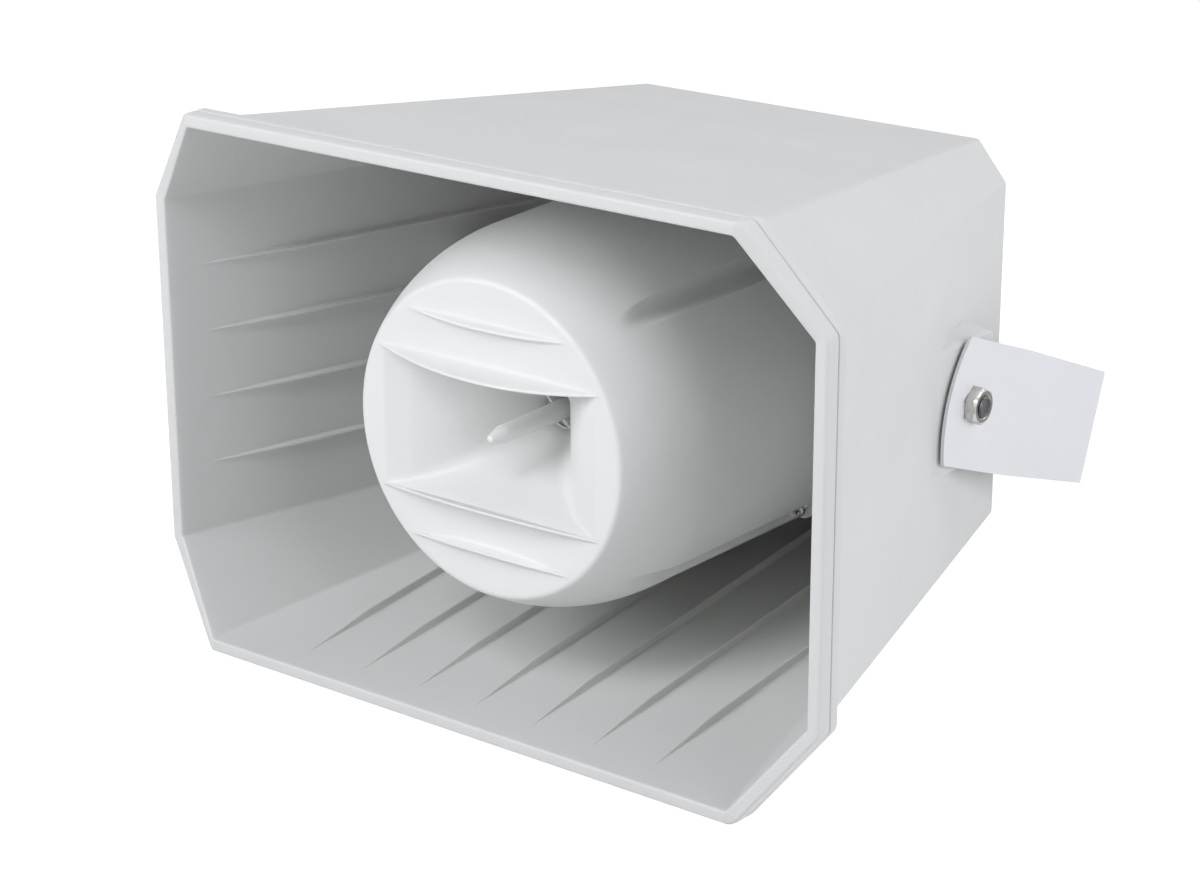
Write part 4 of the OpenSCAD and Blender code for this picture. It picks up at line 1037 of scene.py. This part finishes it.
@dataclass
class Bell:
    """The one-piece bell: its skin with four screw channels, its face and its treble horn.

    Attributes:
        front: Depth of the face behind the mouth's front.
        disc_r: Radius of the face, with its edge.
        edge_soft: Rounding of that edge.
        shoulder_d: Depth of the curved shoulder behind the face.
        arc: Radius of the shoulder's curve.
        rear: Depth of the bell's rear edge.
        taper: Growth of the radius for each millimetre behind the shoulder.
        wall: Wall thickness.
        channel_r: Radius of the screw channels.
        lip_slope: Steepness of the channels' sides.
        lip_soft: Rounding of the channels' lips, outside and inside.
        lug_y, lug_t: Depth at which the channels end in lugs, and the lugs' thickness.
        ledge_t: Thickness of the ledges at their tips.
        ledge_lean: Angle by which the ledges lean towards the middle, in degrees.
        main_ledge: Height, half length and reach of the ledge beside the treble horn.
        small_ledge: The same for the ledge beyond it.
        wedge: How much thicker a small ledge grows towards its root.
        hollow: Depth of the face's slight dishing between the ledges.
        half_w, half_h: Half the width and height of the treble horn's mouth.
        bevel_w, bevel_d: Half width and depth at which its first bevel ends.
        pull: How far the treble horn's walls curve in from a straight line.
        treble_d: Depth of the treble horn's flare.
        throat_l: Length of the throat behind the flare.
        corner_r: Rounding of the treble horn's corners just behind the face.
        corner_d: Depth over which that rounding opens.
        corner_ease: How evenly the rounding then grows: evenly at 1, and early below it.
        columns, rows: Mesh steps from the middle to the treble horn's side and to its top.
        skin_steps: Faces of the skin between two channels.
        lip: Width and depth of the first loops behind the treble horn's mouth.
        bend_soft: Width and depth of the loops round the bevel's end.
        channel_turns: Angles from a channel's middle at which the skin has points, in degrees.
        inner_stops: Depths of the skin's points inside, from the rear.
    """

    front: float = 38.0
    disc_r: float = 101.6
    edge_soft: float = 2.4
    shoulder_d: float = 80.0
    arc: float = 150.0
    rear: float = 300.0
    taper: float = 0.022
    wall: float = 3.5
    channel_r: float = 8.8
    lip_slope: float = 5.0
    lip_soft: Flat = (2.6, 1.0)
    lug_y: float = 250.0
    lug_t: float = 4.0
    ledge_t: float = 2.2
    ledge_lean: float = 19.0
    main_ledge: Point = (47.3, 85.0, 14.5)
    small_ledge: Point = (75.4, 61.2, 6.0)
    wedge: float = 6.0
    hollow: float = 0.7
    half_w: float = 84.0
    half_h: float = 45.2
    bevel_w: float = 66.0
    bevel_d: float = 8.5
    pull: float = 8.0
    treble_d: float = 74.0
    throat_l: float = 6.0
    corner_r: float = 2.5
    corner_d: float = 1.2
    corner_ease: float = 0.7
    columns: int = 28
    rows: int = 12
    skin_steps: int = 28
    lip: tuple[Flat, ...] = ((0.0, 0.0), (1.2, 0.25), (2.8, 0.9))
    bend_soft: tuple[Flat, ...] = ((2.2, -1.1), (0.1, 0.15))
    channel_turns: tuple[float, ...] = (
        0, 0.8, 1.6, 2.3, 2.9, 3.4, 3.7, 3.9, 4.02, 4.15, 4.35, 4.6, 4.9, 5.3, 5.9, 6.8, 8.0)
    inner_stops: tuple[float, ...] = (270, 200, 150, 118, 95, 75, 60, 50)

    def __post_init__(self) -> None:
        """Works out the shoulder's end."""
        self.shoulder_end = self.front + self.shoulder_d
        self.shoulder_r = self.disc_r + self.arc - sqrt(self.arc ** 2 - self.shoulder_d ** 2)
        self.face_r = self.disc_r - self.edge_soft

    def skin_r(self, y: float) -> float:
        """Gives the bell's outer radius, without its channels.

        Args:
            y: Depth behind the mouth's front.

        Returns:
            The radius.
        """
        if y > self.shoulder_end:
            return self.shoulder_r + self.taper * (y - self.shoulder_end)
        return self.shoulder_r - self.arc + sqrt(self.arc ** 2 - (self.shoulder_end - y) ** 2)

    def channelled(self, radius: float, turn: float, groove: float, soft: float) -> float:
        """Lowers a radius where a screw channel runs.

        Args:
            radius: The skin's own radius.
            turn: Angle from the channel's middle, in radians.
            groove: The channel's own radius.
            soft: Width over which its lips are rounded.

        Returns:
            The radius with the channel in it.
        """
        aside = abs(SCREW_R * sin(turn))
        floor = SCREW_R * cos(turn)
        floor += (aside - groove) * self.lip_slope if aside > groove else -sqrt(groove ** 2 - aside ** 2)
        near = max(soft - abs(radius - floor), 0.0) / soft
        return min(radius, floor) - near * near * soft / 4

    def outline(self) -> list[Flat]:
        """Lists the skin's outline from the face back to the rear edge.

        Returns:
            Radius and depth of each point.
        """
        soft = self.edge_soft
        corner, bottom = (self.disc_r, self.front), (self.skin_r(self.front + soft), self.front + soft)
        listed = [(self.face_r - 1.2, self.front + 0.05), (self.face_r - 0.1, self.front + 0.002)]
        listed += [curve((self.face_r, self.front), corner, bottom, i / 4) for i in range(5)]
        y = self.front + soft
        # The points lie closest together where the channels come out of the shoulder.
        for step, stop in ((2.5, 60), (1.4, 84), (3.0, self.shoulder_end), (9.0, self.lug_y - 1)):
            while y + step < stop:
                y += step
                listed.append((self.skin_r(y), y))
        lug, lug_end = self.lug_y, self.lug_y + self.lug_t
        for y in (lug - 0.1, lug + 0.1, lug_end - 0.1, lug_end + 0.1, 270, 290, self.rear - 1.2):
            listed.append((self.skin_r(y), y))
        rear_r = self.skin_r(self.rear)
        listed += [(rear_r - 0.35, self.rear - 0.35), (rear_r - 1.2, self.rear),
                   (rear_r - self.wall + 0.8, self.rear), (rear_r - self.wall, self.rear - 0.8)]
        return listed

    def skin(self) -> Mesh:
        """Makes the turned skin, finer at the channels, and sinks the channels into it.

        Returns:
            The mesh, an open sheet.
        """
        bm = bmesh.new()
        inner = [(self.skin_r(y) - self.wall, y) for y in self.inner_stops]
        verts = [bm.verts.new((r, y, 0.0)) for r, y in self.outline() + inner]
        edges = [bm.edges.new(pair) for pair in zip(verts, verts[1:])]
        stops = [-a for a in reversed(self.channel_turns[1:])] + list(self.channel_turns)
        turn_mesh(bm, 45 + stops[0], "Y")
        turns = [(b - a, 1) for a, b in zip(stops, stops[1:])] + [(90 - 2 * stops[-1], self.skin_steps)]
        geom = verts + edges
        for angle, steps in turns * 4:
            geom = bmesh.ops.spin(bm, geom=geom, cent=(0, 0, 0), axis=(0, 1, 0), angle=radians(angle),
                                  steps=steps, use_merge=False)["geom_last"]
        for vert in bm.verts:
            x, y, z = vert.co
            if self.lug_y < y < self.lug_y + self.lug_t:
                continue
            radius = hypot(x, z)
            turn = atan2(z, x) % (pi / 2) - pi / 4
            inside = radius < self.skin_r(y) - self.wall + 0.05
            groove = self.channel_r + (self.wall if inside else 0.0)
            scale = self.channelled(radius, turn, groove, self.lip_soft[1 if inside else 0]) / radius
            vert.co.x, vert.co.z = x * scale, z * scale
        face_out(bm, (0, 0, 0.0001))
        # The skin looks all round, so its rightmost face tells whether it is inside out.
        if max(bm.faces, key=lambda f: f.calc_center_median().x).normal.x < 0:
            bmesh.ops.reverse_faces(bm, faces=bm.faces[:])
        return bm

    def crescent(self, ledge: Point, x: float) -> float:
        """Gives how far a ledge stands forward.

        Args:
            ledge: The ledge's height, half length and reach.
            x: Distance from its middle.

        Returns:
            Its reach there, along an arc that ends at the face.
        """
        _, half, out = ledge
        if abs(x) >= half:
            return 0.0
        arc = (half * half + out * out) / (2 * out)
        return sqrt(arc * arc - x * x) - arc + out

    def ledge_points(self, ledge: Point, x: float, last: bool) -> list[Flat]:
        """Lists a ledge's cross-section, from its outer root to its inner one.

        Args:
            ledge: The ledge's height, half length and reach.
            x: Distance from its middle.
            last: Whether it ends at the treble horn's edge, with no fillet there.

        Returns:
            Depth and height of each point.
        """
        reach, t, lean = self.crescent(ledge, x), self.ledge_t, radians(self.ledge_lean)
        tip = min(t / 2, reach)
        # Each point is a distance forward from the face and a height above the ledge's outer side.
        shape = [(0.0, 3.0), (reach * 0.03, 1.7), (reach * 0.11, 0.8), (reach * 0.24, 0.25),
                 (reach * 0.5, 0.0)]
        for i in range(7):
            a = pi * i / 6
            shape.append((max(reach - t / 2, 0.0) + tip * sin(a), -t / 2 + t / 2 * cos(a)))
        if last:
            shape += [(reach * 0.5, -t), (reach * 0.2, -t), (0.0, self.half_h - ledge[0])]
        else:
            thick = self.wedge * reach / ledge[2]
            shape += [(reach * 0.55, -t - 0.25 * thick), (reach * 0.25, -t - 0.5 * thick),
                      (reach * 0.07, -t - 0.75 * thick), (0.0, -t - thick - 0.3)]
        return [(self.front - f * cos(lean), ledge[0] + c - f * sin(lean)) for f, c in shape]

    def dished(self, x: float, high: float, low: float) -> list[Flat]:
        """Lists the face's cross-section between two ledges, dished a little.

        Args:
            x: Distance from the middle.
            high: Height at which the stretch begins.
            low: Height at which it ends.

        Returns:
            Depth and height of each point between the two.
        """
        listed = []
        for i in range(1, 6):
            z = high + (low - high) * i / 6
            # The dishing fades out over 12 mm, and has gone 2 mm before the edge.
            share = min(max(self.face_r - hypot(x, z) - 2, 0.0) / 12, 1.0)
            listed.append((self.front + self.hollow * share * sin(pi * i / 6), z))
        return listed

    def face_section(self, x: float) -> list[Flat]:
        """Lists the face's upper cross-section, from the disc's edge to the treble horn.

        Args:
            x: Distance from the middle.

        Returns:
            Depth and height of each point, none of them beyond the edge.
        """
        top = sqrt(max(self.face_r ** 2 - x * x, 0.0))
        small = self.ledge_points(self.small_ledge, x, False)
        main = self.ledge_points(self.main_ledge, x, True)
        listed = [(self.front, top)] + self.dished(x, top, min(small[0][1], top)) + small
        listed += self.dished(x, small[-1][1], main[0][1]) + main
        return [(y, z) if z < top else (self.front, top) for y, z in listed]

    def face(self) -> Mesh:
        """Makes the disc with its ledges, and the treble horn down to its throat.

        Returns:
            The mesh, an open sheet.
        """
        bm = bmesh.new()
        edge = sqrt(self.face_r ** 2 - self.half_h ** 2)
        between = (edge + self.half_w) / 2
        inside = [self.half_w * i / self.columns for i in range(-self.columns, self.columns + 1)]
        heights = [self.half_h * i / self.rows for i in range(-self.rows, self.rows + 1)]
        for side in (1, -1):
            sweep(bm, [[(x, y, side * z) for y, z in self.face_section(x)]
                       for x in [-edge, -between] + inside + [between, edge]], closed=False)
        for side in (1, -1):
            stations = []
            for z in heights:
                out = sqrt(self.face_r ** 2 - z * z)
                steps = [self.half_w, between] + [edge + (out - edge) * i / 3 for i in range(4)]
                stations.append([(side * x, self.front, z) for x in steps])
            sweep(bm, stations, closed=False)
        loop = [(x, self.half_h) for x in inside] + [(self.half_w, z) for z in reversed(heights[1:-1])]
        loop += [(x, -self.half_h) for x in reversed(inside)] + [(-self.half_w, z) for z in heights[1:-1]]
        sweep(bm, self.treble_rings(loop))
        bmesh.ops.dissolve_degenerate(bm, dist=0.001, edges=bm.edges[:])
        face_out(bm, (0, -1, 0))
        return bm

    def treble_rings(self, loop: Sequence[Flat]) -> list[list[Point]]:
        """Lists the treble horn's loops, from its rectangular mouth to its round throat.

        Args:
            loop: Points of the mouth's edge.

        Returns:
            The points of each loop.
        """
        bend = (self.bevel_w, self.front + self.bevel_d)
        throat = (THROAT_R, self.front + self.treble_d)
        pull = ((bend[0] + throat[0]) / 2 - self.pull, (bend[1] + throat[1]) / 2 - self.pull)
        plan = [(self.half_w - inward, self.front + deep) for inward, deep in self.lip]
        plan += [(bend[0] + outward, bend[1] + deep) for outward, deep in self.bend_soft]
        plan += [curve(bend, pull, throat, i / 16) for i in range(1, 17)]
        plan.append((THROAT_R, throat[1] + self.throat_l))
        rings = []
        for wide, y in plan:
            share = min((y - self.front) / self.treble_d, 1.0)
            high = self.half_h + (THROAT_R - self.half_h) * share
            radius = min(self.fillet(y - self.front), wide, high)
            ring = [round_corner(x / self.half_w * wide, z / self.half_h * high, (wide, high), radius)
                    for x, z in loop]
            rings.append([(x, y, z) for x, z in ring])
        return rings

    def fillet(self, deep: float) -> float:
        """Gives the radius of the treble horn's four corners: sharp only at the face.

        Args:
            deep: Depth behind the face.

        Returns:
            The radius, which becomes the throat's own at the flare's end.
        """
        opening = min(deep / self.corner_d, 1.0) * self.corner_r
        return opening + (THROAT_R - self.corner_r) * min(deep / self.treble_d, 1.0) ** self.corner_ease

    def build(self, palette: Palette) -> None:
        """Makes the bell and lets it ride on the horn.

        Args:
            palette: Where its finish comes from.
        """
        bm = self.face()
        merge_in(bm, self.skin())
        make_piece("bell_moulding", bm, Body.HORN, "bell_plastic", palette, ["bell"], crease=46)


@dataclass
class PhasePlug:
    """The plug in the treble horn's throat: a rod with a blunt nose, on two vanes and a ring.

    Attributes:
        tip: Depth of the nose.
        nose: Radius of the nose's round end, and its depth.
        nose_end: The nose's cone and the rod: how far they lie inside the rod's radius,
            and the distance behind the tip.
        radius: Radius of the rod.
        root: Radius of the rod's foot.
        seat: Depth at which the plug is seated.
        ring_r: Inner and outer radius of the ring.
        ring_t: Thickness of the ring.
        gap: Room between the vanes' ends and the throat.
        vane_l, vane_t: Length of the vanes along the axis, and their thickness.
        vane_turn: Turn of the vanes from level, in degrees.
    """

    tip: float = 40.3
    nose: Flat = (2.9, 2.4)
    nose_end: tuple[Flat, ...] = ((0.35, 11.4), (0.06, 12.2), (0.0, 13.2), (0.0, 30.0))
    radius: float = 5.9
    root: float = 6.6
    seat: float = 118.0
    ring_r: Flat = (13.2, 17.9)
    ring_t: float = 2.0
    gap: float = 0.3
    vane_l: float = 10.0
    vane_t: float = 1.8
    vane_turn: float = 45.0

    def build(self, palette: Palette) -> None:
        """Makes the plug and lets it ride on the horn.

        Args:
            palette: Where its finish comes from.
        """
        wide, deep = self.nose
        profile = [(wide * sin(radians(a)), self.tip + deep * (1 - cos(radians(a))))
                   for a in range(0, 76, 15)]
        profile += [(self.radius - inward, self.tip + along) for inward, along in self.nose_end]
        bm = turned(profile + [(self.root, self.seat - 3), (self.root, self.seat)], 48)
        inner, outer = self.ring_r
        top = self.seat - self.ring_t
        merge_in(bm, turned([(inner, top), (outer - 0.3, top), (outer, top + 0.3), (outer, self.seat),
                             (inner, self.seat), (inner, top)], 72))
        half, thin = THROAT_R - self.gap, self.vane_t / 2
        vane = cut_block((-half, self.seat - self.vane_l, -thin), (half, self.seat, thin))
        bevel(vane, sharp_edges(vane), 0.4, 2)
        turn_mesh(vane, self.vane_turn, "Y")
        merge_in(bm, vane)
        make_piece("treble_plug", bm, Body.HORN, "bell_plastic", palette, ["phase_plug"])


# Bracket, pivots and gland


@dataclass
class SoftenedNode:
    """A CAD node's copy with its sharp edges rounded, as pressing, paint or moulding leaves them.

    Attributes:
        node: The CAD node.
        body: The body that it rides on.
        slot: Its material slot.
        soft: Width of the rounding.
    """

    node: str
    body: Body
    slot: str
    soft: float

    def build(self, palette: Palette) -> None:
        """Makes the copy and lets it stand for the node.

        Args:
            palette: Where its finish comes from.
        """
        bm = bmesh.new()
        bm.from_mesh(frame["nodes"][self.node].data)
        bmesh.ops.scale(bm, verts=bm.verts[:], vec=(1 / MM, 1 / MM, 1 / MM))
        # The CAD mesh is welded finely, and its flat triangles become whole faces.
        bmesh.ops.remove_doubles(bm, verts=bm.verts[:], dist=0.002)
        bmesh.ops.dissolve_limit(bm, angle_limit=radians(0.4), verts=bm.verts[:], edges=bm.edges[:])
        bmesh.ops.recalc_face_normals(bm, faces=bm.faces[:])
        bevel(bm, sharp_edges(bm, 35), self.soft)
        make_piece(self.node + "_finished", bm, self.body, self.slot, palette, [self.node])


@dataclass
class PivotHardware:
    """The hex nut and the bolt's end on each arm.

    Attributes:
        nut_in: Distance of the nut's inner face from the middle.
        nut_t: Thickness of the nut.
        flats: Width of the nut across its flats.
        corner_in: Width and height of the nut's chamfer next to the arm.
        corner_out: The same at its outer end.
        sink: The same for the bore's countersink.
        bolt_r: Radius of the bolt.
        start: Distance of the bolt's inner end from the middle.
        proud: How far the bolt stands out of the nut.
        pitch: Spacing of the rings that stand for its thread.
        thread: A ring's groove: depth below the bolt's radius, and place along it.
        dish: The bolt's end: distance inside its radius, and depth below its end.
        dish_deep: Depth of the dished end in its middle.
    """

    nut_in: float = 201.5
    nut_t: float = 8.0
    flats: float = 22.0
    corner_in: Flat = (1.6, 0.9)
    corner_out: Flat = (2.4, 1.5)
    sink: Flat = (1.1, 1.0)
    bolt_r: float = 7.0
    start: float = 182.8
    proud: float = 1.5
    pitch: float = 1.5
    thread: tuple[Flat, ...] = ((0.0, 0.3), (0.8, 0.85), (0.0, 1.4))
    dish: tuple[Flat, ...] = ((0.0, 0.9), (0.9, 0.05), (1.3, 0.0), (2.0, 0.1), (2.6, 0.9))
    dish_deep: float = 1.1

    def nut(self) -> Mesh:
        """Makes the right-hand nut: a hexagon turned down at its corners, with a countersunk bore.

        Returns:
            The closed mesh.
        """
        corner, top = self.flats / sqrt(3), self.nut_t
        profile = [(self.bolt_r, 0.0), (corner - self.corner_in[0], 0.0), (corner, self.corner_in[1]),
                   (corner, top - self.corner_out[1]), (corner - self.corner_out[0], top),
                   (self.bolt_r + self.sink[0], top), (self.bolt_r, top - self.sink[1]), (self.bolt_r, 0.0)]
        rings = []
        for i in range(96):
            turn = 2 * pi * i / 96
            flat = self.flats / 2 / cos((turn + pi / 6) % (pi / 3) - pi / 6)
            rings.append([(self.nut_in + h, PIVOT_Y + min(r, flat) * cos(turn), min(r, flat) * sin(turn))
                          for r, h in profile])
        bm = bmesh.new()
        sweep(bm, rings + [rings[0]], closed=False)
        face_out(bm)
        return bm

    def bolt(self) -> Mesh:
        """Makes the right-hand bolt: its thread shows as rings, and its end is dished.

        Returns:
            The closed mesh.
        """
        end, place = self.nut_in + self.nut_t + self.proud, self.nut_in + 1
        profile = [(0.0, self.start), (self.bolt_r, self.start), (self.bolt_r, place)]
        while place + self.pitch < end - self.dish[0][1]:
            profile += [(self.bolt_r - deep, place + along) for deep, along in self.thread]
            place += self.pitch
        profile += [(self.bolt_r - inward, end - deep) for inward, deep in self.dish]
        bm = turned(profile + [(0.0, end - self.dish_deep)], 64)
        turn_mesh(bm, -90, "Z")
        bmesh.ops.translate(bm, verts=bm.verts[:], vec=(0, PIVOT_Y, 0))
        return bm

    def build(self, palette: Palette) -> None:
        """Makes the nuts and bolts of both sides.

        Args:
            palette: Where their finishes come from.
        """
        for name, make, slot in (("nuts", self.nut, "stainless"), ("bolts", self.bolt, "dark_steel")):
            bm = bmesh.new()
            merge_in(bm, make(), mirror_x=True)
            make_piece("pivot_" + name + "_finished", bm, Body.HORN, slot, palette, ["pivot_" + name])


# Stage


@dataclass(frozen=True)
class Lamp:
    """A square soft box.

    Attributes:
        name: The lamp's name.
        place: Where it hangs.
        size: Length of its sides.
        power: Its power in watts.
    """

    name: str
    place: Point
    size: float
    power: float

    def hang(self, colour: Colour, target: Point) -> None:
        """Hangs the lamp.

        Args:
            colour: Its linear colour.
            target: The point that it looks at.
        """
        data = bpy.data.lights.new(self.name, "AREA")
        data.shape, data.size, data.energy = "SQUARE", self.size, self.power
        data.color = colour[:3]
        made = add_object(self.name, data)
        made.location = self.place
        made.rotation_euler = (Vector(target) - Vector(self.place)).to_track_quat("-Z", "Y").to_euler()


@dataclass
class Studio:
    """The pale floor, the soft light and the camera.

    Attributes:
        floor_z: Height of the floor.
        lens: Focal length in millimetres, for a frame 36 mm wide.
        place: Where the camera stands.
        azimuth: Its direction round the object, in degrees.
        elevation: Its direction above the level, in degrees.
        roll: Its turn about its own axis, in degrees.
        daylight: Colour of the light, sRGB.
        ambient: Strength of the light from all round.
        paper: Colour of the floor, sRGB.
        glow: How bright the floor looks by itself.
        glow_share: Share of that in what the camera sees. The rest takes the shadows.
        target: The point that the lamps look at.
        lamps: The soft boxes. The strongest hangs in front on the left.
    """

    floor_z: float = -0.1835
    lens: float = 88.60
    place: Point = (1.09192, -1.26491, 0.60690)
    azimuth: float = 37.63
    elevation: float = 19.57
    roll: float = -0.19
    daylight: str = "#f8f9ff"
    ambient: float = 0.1
    paper: str = "#e8e8e8"
    glow: float = 1.2
    glow_share: float = 0.82
    target: Point = (0.0, 0.15, 0.0)
    lamps: tuple[Lamp, ...] = (
        Lamp("key_left", (-0.9, -2.2, 1.3), 1.4, 46.0),
        Lamp("front_top", (0.0, -1.8, 2.3), 1.0, 24.0),
        Lamp("top", (0.2, 0.6, 2.4), 1.4, 11.0),
        Lamp("right_front", (2.4, -0.6, 0.9), 1.4, 15.0),
        Lamp("right_back", (2.4, 0.9, 0.5), 1.4, 20.0),
        Lamp("back_high", (1.0, 2.2, 1.8), 1.4, 16.0))

    def camera(self) -> None:
        """Makes the camera at the photograph's viewing angle."""
        data = bpy.data.cameras.new("camera")
        data.lens, data.sensor_width, data.sensor_fit = self.lens, 36.0, "HORIZONTAL"
        data.clip_start, data.clip_end = 0.05, 50.0
        a, e, r = radians(self.azimuth), radians(self.elevation), radians(self.roll)
        back = Vector((sin(a) * cos(e), -cos(a) * cos(e), sin(e)))
        right = Vector((cos(a), sin(a), 0.0))
        above = back.cross(right)
        side, high = cos(r) * right + sin(r) * above, cos(r) * above - sin(r) * right
        turn = Matrix((side, high, back)).transposed().to_4x4()
        made = add_object("camera", data)
        made.matrix_world = Matrix.Translation(self.place) @ turn
        bpy.context.scene.camera = made

    def seen(self, tree: Tree) -> Socket:
        """Tells the rays that show the background, straight or by a reflection.

        Args:
            tree: The node tree that asks.

        Returns:
            A socket that is 1 for such rays and 0 for the others.
        """
        rays = add_node(tree, "ShaderNodeLightPath").outputs
        straight = worked(tree, "MAXIMUM", rays["Is Camera Ray"], rays["Is Glossy Ray"])
        return worked(tree, "MAXIMUM", straight, rays["Is Transmission Ray"])

    def floor(self) -> None:
        """Makes the floor: white to the camera, with the object's shadow kept faint on it."""
        bm = bmesh.new()
        bmesh.ops.create_grid(bm, x_segments=1, y_segments=1, size=8.0)
        bmesh.ops.translate(bm, verts=bm.verts[:], vec=(0, 0, self.floor_z))
        mesh = bpy.data.meshes.new("floor")
        bm.to_mesh(mesh)
        bm.free()
        paint = bpy.data.materials.new("white_paper_floor")
        tree = empty_tree(paint)
        share = worked(tree, "MULTIPLY", self.seen(tree), self.glow_share)
        dull = add_node(tree, "ShaderNodeBsdfDiffuse", {"Color": linear(self.paper)})
        glow = add_node(tree, "ShaderNodeEmission", {"Color": (1, 1, 1, 1), "Strength": self.glow})
        both = add_node(tree, "ShaderNodeMixShader", {0: share, 1: dull.outputs[0], 2: glow.outputs[0]})
        add_node(tree, "ShaderNodeOutputMaterial", {"Surface": both.outputs[0]})
        mesh.materials.append(paint)
        add_object("floor", mesh)

    def light(self) -> None:
        """Lights the object softly from all round, most from the front and above."""
        world = bpy.data.worlds.new("studio")
        tree = empty_tree(world)
        soft = add_node(tree, "ShaderNodeBackground", {
            "Color": linear(self.daylight), "Strength": self.ambient})
        white = add_node(tree, "ShaderNodeBackground", {"Color": (1, 1, 1, 1), "Strength": 1.0})
        both = add_node(tree, "ShaderNodeMixShader", {
            0: self.seen(tree), 1: soft.outputs[0], 2: white.outputs[0]})
        add_node(tree, "ShaderNodeOutputWorld", {"Surface": both.outputs[0]})
        bpy.context.scene.world = world
        for lamp in self.lamps:
            lamp.hang(linear(self.daylight), self.target)

    def build(self) -> None:
        """Sets up the whole stage."""
        self.camera()
        self.floor()
        self.light()
        bpy.context.scene.view_settings.view_transform = "Standard"


def main() -> None:
    """Builds every sub-assembly in order."""
    logging.basicConfig(level=logging.INFO, format="%(name)s %(message)s")
    palette = Palette()
    palette.dress_nodes()
    Studio().build()
    HornShell().build(palette)
    Bell().build(palette)
    PhasePlug().build(palette)
    PivotHardware().build(palette)
    for node, body, slot, soft in (
            ("bracket", Body.BRACKET, "bracket_paint", 0.7),
            ("gland_body", Body.HORN, "gland_nylon", 0.4),
            ("gland_cap", Body.HORN, "gland_nylon", 0.3)):
        SoftenedNode(node, body, slot, soft).build(palette)
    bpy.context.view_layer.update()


if __name__ == "__main__":
    main()
